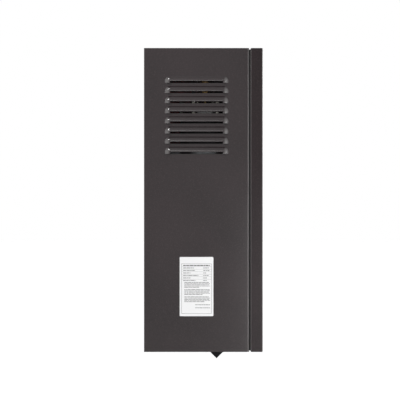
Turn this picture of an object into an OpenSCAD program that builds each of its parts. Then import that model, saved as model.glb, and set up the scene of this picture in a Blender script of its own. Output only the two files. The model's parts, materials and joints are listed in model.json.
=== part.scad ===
// Wall-hung electric boiler with its heater, pump, expansion vessel and controls.
// Millimetres. X runs along the width, -Y out from the wall, Z up.
// The origin lies on the wall, in the middle of the casing's lower edge.

/* [Casing] */
// Width of the casing
casing_w = 380; // [376:1:440]
// Height of the casing
casing_h = 645; // [640:1:760]
// Depth of the fixed body, from the wall to its front flange
body_d = 223; // [221:1:250]
// Gap between the body's flange and the front cover
seam_gap = 3; // [1.5:0.5:4]
// Depth of the front cover
cover_d = 26; // [25:1:34]
// Outer radius of the front cover's bends
cover_round = 2; // [1.6:0.1:5]
// Outer radius of the body's front bends
bend_r = 3.4; // [2:0.1:4]
// Thickness of the steel sheet
sheet = 1.2; // [0.8:0.1:1.5]
// Width of the flanges round the front opening
flange_w = 12; // [11:1:16]
// Height of the skirt below the bottom panel
skirt_h = 10; // [9:1:14]
// Diameter of the pins that locate the cover
pin_d = 6; // [4:0.5:7]
// Distance between the two locating pins
pin_gap = 240; // [180:5:300]
// Distance between the two cover screws
cover_screw_gap = 300; // [280:5:320]
// Diameter of the cover screws
cover_screw_d = 4; // [3:0.5:5]

/* [Louvres] */
// Number of louvres in each side panel
louvre_count = 8; // [4:1:9]
// Length of a louvre
louvre_l = 134; // [90:1:160]
// Height of a louvre
louvre_h = 15; // [11:1:18]
// Distance between louvres
louvre_pitch = 21.5; // [20:0.5:26]
// How far a louvre stands out of the panel
louvre_out = 6; // [4:0.5:8]
// Length of a louvre's round end
louvre_end = 11; // [8:0.5:14]
// Height of the mouth below a louvre's lip
louvre_mouth = 4.5; // [3:0.5:7]
// Distance from the casing's top to the first louvre
louvre_top = 59; // [40:1:90]

/* [Rating label] */
// Width of the label
label_w = 71.5; // [50:0.5:90]
// Height of the label
label_h = 125.6; // [80:0.1:150]
// Thickness of the label
label_t = 0.4; // [0.2:0.1:0.8]
// Radius of the label's corners
label_corner = 2; // [1:0.5:4]
// Height of the label's lower edge
label_rise = 76; // [40:1:110]
// Distance from the wall to the label
label_rear = 75.7; // [50:0.1:110]

/* [Wall bracket] */
// Width of the wall bracket
bracket_w = 190; // [180:1:220]
// Height of the bracket's plate
bracket_h = 34; // [30:1:40]
// Thickness of the bracket
bracket_t = 2.5; // [2:0.1:3]
// Distance from the casing's top to the bracket's top
bracket_drop = 70; // [60:1:75]
// Distance between the wall screws
wall_screw_gap = 150; // [120:1:160]
// Diameter of the holes for the wall screws
wall_screw_d = 7; // [5:0.5:9]
// Width of the slot behind the bracket's hook
hook_slot = 3; // [2.5:0.1:4]
// Height of the bracket's hook
hook_h = 8; // [6:0.5:10]

/* [Heater tank] */
// Outer radius of the tank
tank_r = 45; // [43:0.5:47]
// Distance from the casing's top to the tank's flange
tank_drop = 135; // [133:1:145]
// Thickness of the tank's wall
tank_wall = 1.8; // [1.2:0.1:2.5]
// Thickness of the foam round the tank
foam_t = 8; // [6:0.5:9]
// Space between the foam and the side panel
tank_side_gap = 11; // [8:1:14]
// Length of the pipe between the pump and the tank
tank_neck = 15; // [14:1:20]
// Width of the tank's flange outside the tank
tank_flange_w = 11; // [11:0.5:13]
// Thickness of the tank's flange and of the element plate
plate_t = 8; // [6:0.5:9]
// Thickness of the tank's gasket
tank_gasket_t = 2; // [1:0.5:3]
// Diameter of the flange bolts
bolt_d = 6; // [5:0.5:6]
// Number of flange bolts
bolt_count = 6; // [4:1:8]
// Radius of a heating element's tube
element_r = 4; // [3:0.5:4.5]
// Distance between the hairpin elements
element_pitch = 22; // [20:0.5:23]
// Distance between the two legs of a hairpin
element_legs = 36; // [34:0.5:38]
// How far the element terminals stand out of the plate
terminal_l = 14; // [10:1:16]

/* [Air vent] */
// Radius of the vent's body
vent_r = 15; // [13:0.5:16]
// Height of the vent's body
vent_h = 40; // [36:1:46]
// Height of the stem below the vent's body
vent_stem_h = 24; // [22:1:28]
// Radius of the vent's stem
vent_stem_r = 7; // [6:0.5:8]
// How far the float can rise
float_travel = 10; // [6:0.5:12]

/* [Water connections] */
// Distance from the wall to the water connections
water_d = 130; // [126:1:132]
// Distance between the return and the supply
supply_gap = 73; // [71:1:75]
// Inner radius of the supply and return threads
thread_r = 12.06; // [11:0.02:13]
// Length of the supply and return threads
thread_l = 16; // [12:1:18]
// Outer radius of the sockets
socket_r = 17; // [15:0.5:18]
// Inner radius of the relief outlet's thread
relief_thread_r = 9.3; // [8.5:0.1:10]
// Length of the relief outlet's thread
relief_thread_l = 12; // [9:1:13]
// How far the sockets' mouths lie above the casing's lower edge
socket_rise = 3; // [2:0.5:5]
// Outer radius of the copper pipe
pipe_r = 11; // [9:0.5:12]
// Thickness of the pipe's wall
pipe_wall = 1; // [0.8:0.1:1.5]
// Bend radius of the copper pipe
pipe_bend = 24; // [20:1:25]
// Outer radius of the vessel's hose
hose_r = 6; // [5:0.5:7]

/* [Pump] */
// Height of the pump's lower port
pump_low = 60; // [59:1:62]
// Length of the pump between its ports
pump_l = 130; // [126:1:134]
// Radius of the pump's volute
volute_r = 42; // [40:0.5:43]
// Depth of the pump's volute
volute_d = 38; // [34:1:40]
// Radius of the impeller
impeller_r = 31; // [26:0.5:34]
// Radius of the pump's shaft
shaft_r = 4; // [3:0.5:5]
// Radius of the motor
motor_r = 40; // [37:0.5:41]
// Length of the motor
motor_l = 51; // [46:1:53]
// Side of the pump's terminal box
pump_box_w = 72; // [60:1:76]
// Depth of the pump's terminal box
pump_box_d = 32; // [26:1:33]
// Radius of the speed knob
speed_knob_r = 13; // [10:0.5:16]

/* [Safety valve and gauge] */
// Distance from the return's axis to the safety valve's axis
relief_gap = 56; // [53:1:58]
// Radius of the safety valve's body
relief_r = 15; // [14:0.5:16]
// Radius of the safety valve's knob
relief_knob_r = 14; // [12:0.5:17]
// How far the safety valve opens
relief_lift = 2; // [1:0.1:2.5]
// Distance from the supply's axis to the gauge's axis
gauge_gap = 62; // [56:1:66]
// Radius of the gauge's case
gauge_r = 19; // [17:0.5:21]
// Length of the gauge's needle
needle_l = 13; // [9:0.5:14]

/* [Expansion vessel] */
// Width of the vessel
vessel_w = 220; // [205:1:221]
// Distance from the casing's top to the vessel
vessel_drop = 55; // [50:1:80]
// Depth of the vessel
vessel_d = 85; // [75:1:86]
// Height of the vessel's lower edge
vessel_rise = 190; // [186:1:200]
// Space between the back plate and the vessel
vessel_gap = 15; // [14.5:0.5:17]
// Space between the vessel and the side panel
vessel_side_gap = 10; // [6:1:16]
// Thickness of the vessel's wall
vessel_wall = 1.5; // [1:0.1:2.5]

/* [Electrics] */
// Width of the power board
board_w = 165; // [158:1:170]
// Height of the power board
board_h = 135; // [120:1:150]
// Thickness of the circuit boards
board_t = 1.6; // [1.2:0.1:2]
// Distance between relays
relay_pitch = 26; // [25:0.5:27]
// Width of a relay
relay_w = 22; // [16:0.5:23]
// Height of a relay
relay_h = 30; // [20:1:34]
// Depth of a relay
relay_d = 20; // [16:0.5:24]
// Radius of a lead
lead_r = 1.5; // [1:0.1:2]

/* [Controls] */
// Width of the display window
window_w = 70; // [50:1:90]
// Height of the display window
window_h = 30; // [22:1:34]
// Distance from the casing's top to the middle of the display window
window_drop = 145; // [110:1:175]
// Radius of a push key
key_r = 5.8; // [4.5:0.1:8]
// Distance between the push keys
key_pitch = 25; // [19:0.5:28]
// How far a key travels
key_travel = 0.6; // [0.3:0.1:0.7]
// Distance from the casing's left side to the middle of the switch's housing
switch_side = 24; // [22:0.5:25]
// Distance from the wall to the tip of the switch's housing
switch_d = 154; // [140:1:170]
// Height of the switch's housing below the casing's lower edge
switch_drop = 14; // [12:0.5:18]
// Width of the switch's housing
switch_w = 32; // [26:1:34]
// Length of the rocker
rocker_l = 20; // [16:0.5:22]
// Width of the rocker
rocker_w = 12; // [9:0.5:16]
// Tilt of the rocker at rest
rocker_tilt = 10; // [6:0.5:11]

/* [Fits] */
// Radial clearance of a running fit
run_fit = 0.05; // [0.03:0.01:0.08]
// Clearance between pieces that slide past each other
slip = 0.2; // [0.15:0.05:0.3]
// Clearance of a loose hole
loose = 0.3; // [0.2:0.05:0.5]

/* [Hidden] */
$fn = 48;

// How far a cut runs past a face
past = 1;

// Casing
half_w = casing_w / 2;
inner_w = half_w - sheet;
opening_w = half_w - flange_w;
// Half the width that lies flat between the insides of the front bends
flat_w = half_w - bend_r;
flange_y = -body_d;
flange_back_y = -body_d + sheet;
cover_y = -body_d - seam_gap;
front_y = cover_y - cover_d;
deck_z = skirt_h + sheet;
roof_z = casing_h - sheet;
pin_z = casing_h - flange_w / 2;
pin_over = 2;
pin_l = seam_gap + sheet + pin_over;
gasket_inset = 3;
gasket_w = flange_w - gasket_inset - 1;
gasket_sill = skirt_h + 2;
return_w = flange_w + 2;
louvre_r = (louvre_out ^ 2 + louvre_h ^ 2) / (2 * louvre_out);
louvre_t = 1;
louvre_reach = louvre_l / 2 - louvre_end;
dome_ring_r = (louvre_end ^ 2 + louvre_h ^ 2) / (2 * louvre_h);
dome_rise = louvre_h - dome_ring_r;
dome_out = louvre_out - 0.6;
dome_r = (dome_out ^ 2 + dome_ring_r ^ 2) / (2 * dome_out);
louvre_lows = [for (i = [1 : louvre_count]) casing_h - louvre_top - louvre_h - (i - 1) * louvre_pitch];
tongue_in = 10;

// Cover screws and their tabs
tab_top = skirt_h - slip;
tab_d = 20;
tab_w = 18;
screw_back = 11;
screw_head_h = 2.4;
screw_nut_h = 3.2;
screw_y = flange_y + screw_back;
screw_over = 1.4;
screw_top = deck_z + slip + screw_nut_h + screw_over;
driver_slot = 1.2;

// Wall bracket and the recess behind it
bracket_top = casing_h - bracket_drop;
hook_y = -bracket_t - hook_slot;
recess_w = bracket_w + 20;
recess_low = bracket_top - bracket_h - 6;
recess_high = bracket_top + hook_h + 8;
recess_d = 2 * bracket_t + hook_slot + 5;
wall_screw_low = 18;

// Heater
foam_r = tank_r + foam_t;
tank_flange_r = tank_r + tank_flange_w;
core_x = -(inner_w - tank_side_gap - foam_r);
core_y = -water_d;
pump_rise = pump_low + pump_l / 2;
pump_high = pump_low + pump_l;
tank_rise = pump_high + tank_neck;
tank_top = casing_h - tank_drop;
tank_l = tank_top - tank_rise;
gasket_z = tank_top + plate_t;
plate_z = gasket_z + tank_gasket_t;
plate_top = plate_z + plate_t;
bolt_ring = tank_flange_r - bolt_d / 2 - 2.5;
bolt_nut_h = 4;
bolt_head_r = 0.87 * bolt_d;
gasket_in = 9;
foam_low = tank_rise + 5;
foam_high = tank_top - bolt_nut_h - 2;
element_low = tank_rise + 48;
element_places = [-element_pitch, 0, element_pitch];
terminal_top = plate_top + terminal_l;
supply_z = tank_top - 25;
collar_r = pipe_r + 3;
collar_out = 6;
clamp_h = 14;
clamp_t = 1.2;
clamp_low = tank_rise + 25;
clamp_top_gap = 95;
clamp_high = tank_top - clamp_top_gap;
arm_w = 24;
sensor_z = clamp_high;
sensor_h = 12;
sensor_wall = 2.5;
sensor_w = 10;

// Air vent
vent_z = plate_top + vent_stem_h;
vent_top = vent_z + vent_h;
vent_wall = 3;
float_gap = 0.8;
vent_hole_r = 1.5;
vent_neck_r = 5;
vent_neck_h = 8;
cap_gap = 2;
cap_wall = 1.5;
cap_h = vent_neck_h + 3;
cap_rib = 1;
cap_ribs = 3;

// Thermal cutout on the tank's front
cutout_z = tank_top - 60;
cutout_half = 14;
cutout_r = 12;
cutout_l = 12;
seat_y = core_y - foam_r - 2;
reset_r = 3;
reset_out = 5;
reset_in = 4;
reset_travel = 2;

// Water
supply_x = core_x + supply_gap;
socket_top = 40;
socket_seat = 12;
block_top = 50;
bore_r = pipe_r - pipe_wall;
collar_seat_r = 22;
collar_seat_h = 5;
branch_z = 34;
rear_port_y = core_y + 25;
capillary_z = 46;
capillary_r = 1.5;
capillary_port_y = core_y + 22;
capillary_back_y = core_y + 35;
relief_y = core_y - relief_gap;
relief_face_y = relief_y + 18;
relief_port_r = 10;
relief_bore_r = 6;
drain_face_x = core_x - 28;
drain_r = 4;
drain_bore_l = 9;
drain_head_l = 6;
drain_head_r = drain_r + 2.5;
drain_slot = 2;

// Pump
port_r = 16;
volute_y = core_y - volute_d / 2;
volute_wall = 4;
motor_y = volute_y - 4;
motor_flange_r = volute_r + 4;
motor_end_y = volute_y - motor_l;
pump_box_y = motor_end_y - pump_box_d;
rotor_r = motor_r / 2;
rotor_room = 2;
rotor_cave_l = motor_l - 12;
shaft_l = volute_d - volute_wall + motor_l - 5.5;
knob_d = 10;
knob_stem_r = 3;
knob_stem_l = 6;
knob_mark = 2;
impeller_gap = 3;
impeller_t = 3;
vane_count = 6;
vane_l = 4;
shaft_end = 3;
nut_wall = 4;
union_grip = 10;
union_over = 12;

// Safety valve
seat_z = 40;
chamber_r = 9;
chamber_top = 54;
drip_r = 2.5;
drip_gap = chamber_r + 1.5;
spindle_top = 68;
relief_top = 58;
relief_neck_r = 8;
relief_neck_h = 6;
spindle_r = 2;
disc_h = 3;
knob_rise = 1;
relief_knob_z = relief_top + knob_rise;
relief_knob_h = 19;
relief_rib = 1;
relief_ribs = 8;
spring_gap = 1.5;

// Gauge
gauge_x = supply_x + gauge_gap;
gauge_low = skirt_h - 1.5;
gauge_top = 32;
gauge_lip = 3.5;
dial_z = gauge_low + 5.5;
glass_t = 1.2;
gauge_wall = 2;
gauge_stem_r = 2 * capillary_r + 1;
gauge_stem_h = 6;
needle_z = gauge_low + 3;
needle_t = 0.8;
needle_w = 1.2;
needle_tail = 4;
needle_hub_r = 2;
needle_hub_h = 2.2;
arbor_r = 0.6;
arbor_in = 3;

// Expansion vessel
vessel_h = casing_h - vessel_drop - vessel_rise;
vessel_right = inner_w - vessel_side_gap;
vessel_left = vessel_right - vessel_w;
vessel_back = -sheet - vessel_gap;
vessel_y = vessel_back - vessel_d / 2;
vessel_x = vessel_left + vessel_w / 2;
vessel_corner = 30;
vessel_edge = 18;
vessel_port_r = 8;
vessel_port_h = 14;
vessel_valve_r = 6;
vessel_valve_h = 8;
membrane_t = 1.5;
membrane_rise = 8;
rail_inset = 10;
rail_w = 20;
rail_bottom = vessel_rise + 50;
rail_drop = 23.8;
rail_upper = recess_low - sheet - rail_drop - rail_w;
hose_nut_l = 10;
hose_nut_wall = 1.5;
hose_wall = 1.5;

// Electrics
tray_y = vessel_back - vessel_d - 4;
tray_front = tray_y - sheet;
tray_left = vessel_left + 6;
tray_low = vessel_rise + 5;
tray_top = vessel_rise + vessel_h + 8;
board_gap = 6;
board_x = tray_left + 36;
board_z = vessel_rise + 110;
board_face = tray_front - board_gap - board_t;
relay_x = board_x + 15;
relay_top = board_z + board_h - 10;
relay_y = board_face - relay_d / 2;
board_inset = 6;
plug_w = 12;
plug_d = 9;
plug_inset = 2;
strip_x = board_x + 30;
strip_w = 100;
strip_z = tray_low + 20;
strip_h = 26;
strip_d = 24;
pole_count = 5;
pole_r = 4;
pole_in = 6;
capacitor_count = 3;
capacitor_r = 8;
capacitor_pitch = 22;
capacitor_x = board_x + 30;
capacitor_z = board_z + 45;
coil_x = board_x + 105;
coil_w = 40;
coil_z = board_z + 28;
coil_h = 34;
relay_count = 2 * len(element_places);
lead_y = board_face - plug_d / 2;
pump_lead_x = board_x + plug_inset + plug_w / 2;
lead_rise = 6;
lead_step = 5;
pump_lead_y = pump_box_y + pump_box_d / 2;
lead_bend = 4;

// Controls
window_rise = casing_h - window_drop;
key_drop = 17;
key_z = window_rise - window_h / 2 - key_drop;
key_room = key_r + loose;
cross_rail_h = 60;
rail_low = window_rise - cross_rail_h / 2;
rail_high = window_rise + cross_rail_h / 2;
control_w = 150;
control_h = 90;
control_in = 14;
control_front = front_y + control_in;
control_back = control_front + board_t;
boss_r = 3.5;
pane_lip = 3;
pane_t = 1.5;
pane_back = front_y + sheet + pane_t;
module_front = pane_back + 0.5;
module_edge = 2;
plunger_l = 5;
plunger_r = 1.7;
plunger_y = control_front - plunger_l;
tact_w = 6;
tact_h = 3.5;
chip_x = 58;
chip_w = 16;
chip_h = 24;
chip_d = 6;
key_lip_r = key_r + 1.8;
key_lip_t = 1.5;
key_lip_gap = 2;
key_places = [-key_pitch, 0, key_pitch];
key_end_y = plunger_y - slip - key_travel;
boss_x = control_w / 2 - 8;
boss_in = 8;
rail_fold = 8;

// Switch
switch_x = switch_side - half_w;
wedge_h = switch_drop + skirt_h;
wedge_wall = 2;
pivot_z = -3.5;
pivot_r = 1.2;
cheek_t = 2;
slot_room = 1.2;
wedge_rim = 4;
rim_t = 1.5;
cheek_l = 8;
cheek_in = 3;
rocker_low = 0.3;
rocker_skirt = 1.5;
rocker_in = 5.5;
window_half = wedge_h - 2 * wedge_wall;

// Cable grommets: place along the width, and radius of the cable
grommets = [[20, 8], [46, 5], [66, 5]];
grommet_y = -195;
grommet_body = 1.5;
grommet_rim = 4;
grommet_lip = 2.5;

// A box from one corner to the opposite one
module block(low, high) {
    translate(low) cube(high - low);
}

// A rod along Z, X or -Y that starts at a point
module rod_z(start, r, l) {
    translate(start) cylinder(r = r, h = l);
}

module rod_x(start, r, l) {
    translate(start) rotate([0, 90, 0]) cylinder(r = r, h = l);
}

module rod_y(start, r, l) {
    translate(start) rotate([90, 0, 0]) cylinder(r = r, h = l);
}

// A hexagon nut along Z, and a round hole through it
module nut_z(start, r, h, hole) {
    difference() {
        translate(start) cylinder(r = r, h = h, $fn = 6);
        rod_z(start - [0, 0, past], hole, h + 2 * past);
    }
}

function unit(v) = v / norm(v);

// A rod through a list of points, with a round bend of radius bend at each inner point
module bent_rod(points, r, bend) {
    last = len(points) - 1;
    along = [for (i = [0 : last - 1]) unit(points[i + 1] - points[i])];
    turn = [for (i = [0 : last]) i == 0 || i == last ? 0 : acos(along[i - 1] * along[i])];
    trim = [for (i = [0 : last]) bend * tan(turn[i] / 2)];
    for (i = [0 : last - 1]) {
        start = points[i] + along[i] * trim[i];
        stop = points[i + 1] - along[i] * trim[i + 1];
        straight_rod(start, stop, r);
    }
    for (i = [1 : last - 1]) {
        side = unit(along[i] - (along[i] * along[i - 1]) * along[i - 1]);
        place_frame(points[i] - along[i - 1] * trim[i] + side * bend, -side, along[i - 1])
            rotate_extrude(angle = turn[i]) translate([bend, 0]) circle(r = r);
    }
}

// A rod from one point to another
module straight_rod(start, stop, r) {
    way = unit(stop - start);
    side = abs(way.z) > 0.9 ? [1, 0, 0] : [0, 0, 1];
    across = unit(cross(side, way));
    place_frame(start, across, cross(way, across)) cylinder(r = r, h = norm(stop - start));
}

// Moves its children to a point, with their X along ex and their Y along ey
module place_frame(origin, ex, ey) {
    ez = cross(ex, ey);
    multmatrix([
        [ex.x, ey.x, ez.x, origin.x],
        [ex.y, ey.y, ez.y, origin.y],
        [ex.z, ey.z, ez.z, origin.z],
        [0, 0, 0, 1]
    ]) children();
}

// A rectangle with rounded corners, from one corner to the opposite one
module round_rect(low, high, r) {
    translate(low + [r, 0]) square([high.x - low.x - 2 * r, high.y - low.y]);
    translate(low + [0, r]) square([high.x - low.x, high.y - low.y - 2 * r]);
    for (x = [low.x + r, high.x - r], y = [low.y + r, high.y - r]) translate([x, y]) circle(r = r);
}

// Casing

module back_plate() {
    color("lightslategray") {
        difference() {
            union() {
                block([-inner_w, -sheet, 0], [inner_w, 0, roof_z]);
                block([-recess_w / 2 - sheet, -recess_d - sheet, recess_low - sheet],
                    [recess_w / 2 + sheet, 0, recess_high + sheet]);
            }
            block([-recess_w / 2, -recess_d, recess_low], [recess_w / 2, past, recess_high]);
        }
        // Tongue that hangs in the bracket's hook
        block([tongue_in - bracket_w / 2, hook_y + loose, bracket_top],
            [bracket_w / 2 - tongue_in, -bracket_t - loose, recess_high + sheet]);
    }
}

// One louvre's form, inset by t: a bar whose lip ends above its mouth, between two domes.
// With over, it also reaches through the sheet and out of the mouth.
module louvre_form(low, t, over) {
    middle = -body_d / 2;
    inside = over > 0 ? over - inner_w : sheet / 2 - half_w;
    outside = -half_w - louvre_out - past;
    slant = louvre_mouth * (louvre_out + past) / louvre_out;
    intersection() {
        rod_y([louvre_r - louvre_out - half_w, middle + louvre_reach, low], louvre_r - t, 2 * louvre_reach);
        place_frame([0, middle + louvre_reach, 0], [1, 0, 0], [0, 0, 1]) linear_extrude(2 * louvre_reach)
            polygon([[inside, low], [-half_w, low], [-half_w, low - over], [outside, low + slant - over],
                [outside, low + 2 * louvre_h], [inside, low + 2 * louvre_h]]);
    }
    for (side = [-1, 1]) intersection() {
        translate([dome_r - dome_out - half_w, middle + side * louvre_reach, low + dome_rise])
            sphere(r = dome_r - t);
        translate([0, middle + side * (louvre_reach + louvre_end), 0]) union() {
            block([-half_w, -louvre_end, low], [inside, louvre_end, low + 2 * louvre_h]);
            block([outside, -louvre_end, low - over], [-half_w, louvre_end, low + 2 * louvre_h]);
        }
    }
}

// The sheet's run round the side panel's front: straight wall, bend and flange
module side_profile() {
    corner = [bend_r - half_w, flange_y + bend_r];
    translate([-half_w, corner.y]) square([sheet, -corner.y]);
    translate([corner.x, flange_y]) square([flange_w - bend_r, sheet]);
    intersection() {
        translate([-half_w, flange_y]) square(bend_r);
        translate(corner) difference() {
            circle(r = bend_r);
            circle(r = bend_r - sheet);
        }
    }
}

// The panel at the left, with its louvres pressed out and open at their lower edges
module side_panel() {
    difference() {
        union() {
            linear_extrude(roof_z) side_profile();
            block([-half_w, flange_y + bend_r, 0], [-inner_w, 0, casing_h]);
            block([-half_w, -2 * sheet, deck_z], [flange_w - inner_w, -sheet, roof_z]);
            for (low = louvre_lows) louvre_form(low, 0, 0);
        }
        for (low = louvre_lows) louvre_form(low, louvre_t, past);
    }
}

module left_side() {
    color([0.21, 0.19, 0.18]) side_panel();
}

module right_side() {
    color([0.21, 0.19, 0.18]) mirror([1, 0, 0]) side_panel();
}

module top_panel() {
    color([0.21, 0.19, 0.18]) difference() {
        union() {
            block([-inner_w, flange_y, roof_z], [inner_w, 0, casing_h]);
            block([-opening_w, flange_y, casing_h - flange_w], [opening_w, flange_back_y, roof_z]);
        }
        for (x = [-pin_gap / 2, pin_gap / 2])
            rod_y([x, flange_back_y + past, pin_z], pin_d / 2 + loose, sheet + 2 * past);
    }
}

module bottom_panel() {
    color([0.21, 0.19, 0.18]) difference() {
        union() {
            block([-inner_w, flange_y + bend_r, skirt_h], [inner_w, -sheet, deck_z]);
            block([-flat_w, flange_back_y, skirt_h], [flat_w, flange_y + bend_r, deck_z]);
            block([-opening_w, flange_y, skirt_h], [opening_w, flange_back_y, skirt_h + flange_w]);
        }
        for (x = [core_x, supply_x]) deck_hole([x, core_y], socket_r + loose);
        deck_hole([core_x, relief_y], relief_r + loose);
        deck_hole([gauge_x, core_y], gauge_r + loose);
        for (g = grommets) deck_hole([g[0], grommet_y], g[1] + grommet_body);
        block([switch_x - switch_w / 2 + wedge_wall, -switch_d - window_half, skirt_h - past],
            [switch_x + switch_w / 2 - wedge_wall, -switch_d + window_half, deck_z + past]);
        for (x = [-cover_screw_gap / 2, cover_screw_gap / 2]) {
            deck_hole([x, screw_y], cover_screw_d / 2 + loose);
            block([x - cover_screw_d / 2 - loose, flange_y - past, skirt_h - past],
                [x + cover_screw_d / 2 + loose, screw_y, deck_z + past]);
            block([x - cover_screw_d - 2 * loose, flange_y - past, skirt_h - past],
                [x + cover_screw_d + 2 * loose, flange_back_y, screw_top + past]);
        }
    }
}

// A round hole through the bottom panel
module deck_hole(place, r) {
    rod_z([place.x, place.y, skirt_h - past], r, sheet + 2 * past);
}

module wall_bracket() {
    color("silver") difference() {
        union() {
            block([-bracket_w / 2, -bracket_t, bracket_top - bracket_h], [bracket_w / 2, 0, bracket_top]);
            block([-bracket_w / 2, hook_y - bracket_t, bracket_top - bracket_t],
                [bracket_w / 2, 0, bracket_top]);
            block([-bracket_w / 2, hook_y - bracket_t, bracket_top - bracket_t],
                [bracket_w / 2, hook_y, bracket_top + hook_h]);
        }
        for (x = [-wall_screw_gap / 2, wall_screw_gap / 2])
            rod_y([x, past, bracket_top - wall_screw_low], wall_screw_d / 2, bracket_t + 2 * past);
    }
}

module rating_label() {
    color("white") translate([-half_w, 0, 0]) rotate([90, 0, -90]) linear_extrude(label_t)
        round_rect([label_rear, label_rise], [label_rear + label_w, label_rise + label_h], label_corner);
}

module cable_grommets() {
    color([0.1, 0.1, 0.1]) for (g = grommets) difference() {
        union() {
            rod_z([g[0], grommet_y, skirt_h - grommet_lip], g[1] + grommet_rim, grommet_lip);
            rod_z([g[0], grommet_y, skirt_h - past], g[1] + grommet_body, sheet + 2 * past);
            rod_z([g[0], grommet_y, deck_z], g[1] + grommet_rim, grommet_lip);
        }
        rod_z([g[0], grommet_y, 0], g[1], deck_z + grommet_lip + past);
    }
}

// Front cover, with everything that comes off with it

// The cover's outer form, inset on all sides
module cover_form(inset) {
    r = cover_round - inset;
    intersection() {
        translate([0, 0, inset]) linear_extrude(casing_h - 2 * inset)
            round_rect([inset - half_w, front_y + inset], [half_w - inset, cover_y - inset], r);
        place_frame([inset - half_w, 0, 0], [0, 1, 0], [0, 0, 1]) linear_extrude(casing_w - 2 * inset)
            round_rect([front_y + inset, inset], [cover_y - inset, casing_h - inset], r);
    }
}

// A folded shell with pins at its top, tabs at its foot, a window and three round holes
module front_cover() {
    color([0.21, 0.19, 0.18]) difference() {
        union() {
            difference() {
                cover_form(0);
                cover_form(sheet);
                block([return_w - half_w, cover_y - 2 * sheet, skirt_h + flange_w],
                    [half_w - return_w, cover_y + past, casing_h - return_w]);
            }
            for (x = [-pin_gap / 2, pin_gap / 2])
                rod_y([x, cover_y + pin_l, pin_z], pin_d / 2, pin_l + sheet / 2);
            for (x = [-cover_screw_gap / 2, cover_screw_gap / 2])
                block([x - tab_w / 2, cover_y - sheet / 2, tab_top - sheet],
                    [x + tab_w / 2, cover_y + tab_d, tab_top]);
        }
        block([-window_w / 2, front_y - past, window_rise - window_h / 2],
            [window_w / 2, front_y + 2 * sheet, window_rise + window_h / 2]);
        for (x = key_places) rod_y([x, front_y + 2 * sheet, key_z], key_room, 3 * sheet);
        for (x = [-cover_screw_gap / 2, cover_screw_gap / 2])
            rod_z([x, screw_y, tab_top - sheet - past], cover_screw_d / 2 + slip, sheet + 2 * past);
    }
}

module cover_gasket() {
    side = half_w - gasket_inset;
    color([0.08, 0.08, 0.08]) difference() {
        block([-side, cover_y, gasket_inset], [side, flange_y, casing_h - gasket_inset]);
        block([gasket_w - side, cover_y - past, gasket_sill + gasket_w],
            [side - gasket_w, flange_y + past, casing_h - gasket_inset - gasket_w]);
        block([gasket_w - side, cover_y - past, 0], [side - gasket_w, flange_y + past, gasket_sill]);
        for (x = [-pin_gap / 2, pin_gap / 2])
            rod_y([x, flange_y + past, pin_z], pin_d / 2 + slip, seam_gap + 2 * past);
    }
}

module cover_screws() {
    color("silver") for (x = [-cover_screw_gap / 2, cover_screw_gap / 2]) {
        difference() {
            rod_z([x, screw_y, tab_top - sheet - screw_head_h], cover_screw_d, screw_head_h);
            block([x - driver_slot / 2, screw_y - cover_screw_d - past, 0],
                [x + driver_slot / 2, screw_y + cover_screw_d + past, tab_top - sheet - screw_head_h / 2]);
        }
        rod_z([x, screw_y, tab_top - sheet - screw_head_h / 3], cover_screw_d / 2,
            screw_top - tab_top + sheet);
        nut_z([x, screw_y, deck_z + slip], cover_screw_d, screw_nut_h, cover_screw_d / 2 + run_fit);
    }
}

module display_window() {
    color([0.05, 0.07, 0.09, 0.8]) {
        block([slip / 2 - window_w / 2, front_y, window_rise - window_h / 2 + slip / 2],
            [window_w / 2 - slip / 2, front_y + sheet + pane_t / 2, window_rise + window_h / 2 - slip / 2]);
        block([-window_w / 2 - pane_lip, front_y + sheet, window_rise - window_h / 2 - pane_lip],
            [window_w / 2 + pane_lip, pane_back, window_rise + window_h / 2 + pane_lip]);
    }
}

// Controls behind the cover

module cross_rail() {
    color("lightslategray") {
        block([-flat_w, flange_back_y, rail_low], [flat_w, flange_back_y + sheet, rail_high]);
        for (z = [rail_low, rail_high - sheet])
            block([-opening_w, flange_back_y, z], [opening_w, flange_back_y + rail_fold, z + sheet]);
        for (x = [-boss_x, boss_x], z = [rail_low + boss_in, rail_high - boss_in])
            rod_y([x, flange_back_y + sheet / 2, z], boss_r, flange_back_y + sheet / 2 - control_back);
    }
}

module control_board() {
    color("darkgreen") {
        block([-control_w / 2, control_front, window_rise - control_h / 2],
            [control_w / 2, control_back, window_rise + control_h / 2]);
        for (x = key_places) {
            block([x - tact_w / 2, control_front - tact_h, key_z - tact_w / 2],
                [x + tact_w / 2, control_front, key_z + tact_w / 2]);
            rod_y([x, control_front, key_z], plunger_r, plunger_l);
        }
        for (x = [-chip_x, chip_x])
            block([x - chip_w / 2, control_front - chip_d, window_rise - chip_h / 2],
                [x + chip_w / 2, control_front, window_rise + chip_h / 2]);
    }
}

module display_module() {
    wide = window_w / 2 + module_edge;
    high = window_h / 2 + module_edge;
    color([0.1, 0.2, 0.18])
        block([-wide, module_front, window_rise - high], [wide, control_front, window_rise + high]);
}

module push_key(x) {
    color([0.3, 0.3, 0.3]) {
        rod_y([x, key_end_y, key_z], key_r, key_end_y - front_y);
        rod_y([x, front_y + sheet + key_lip_gap, key_z], key_lip_r, key_lip_t);
    }
}

module key_minus() {
    push_key(key_places[0]);
}

module key_mode() {
    push_key(key_places[1]);
}

module key_plus() {
    push_key(key_places[2]);
}

// Mains switch under the bottom panel

// A frame on the switch housing's front slope: X across, Y up the slope, Z out of it
module on_slope() {
    translate([switch_x, -switch_d - wedge_h / 2, wedge_h / 2 - switch_drop]) rotate([135, 0, 0]) children();
}

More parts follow.
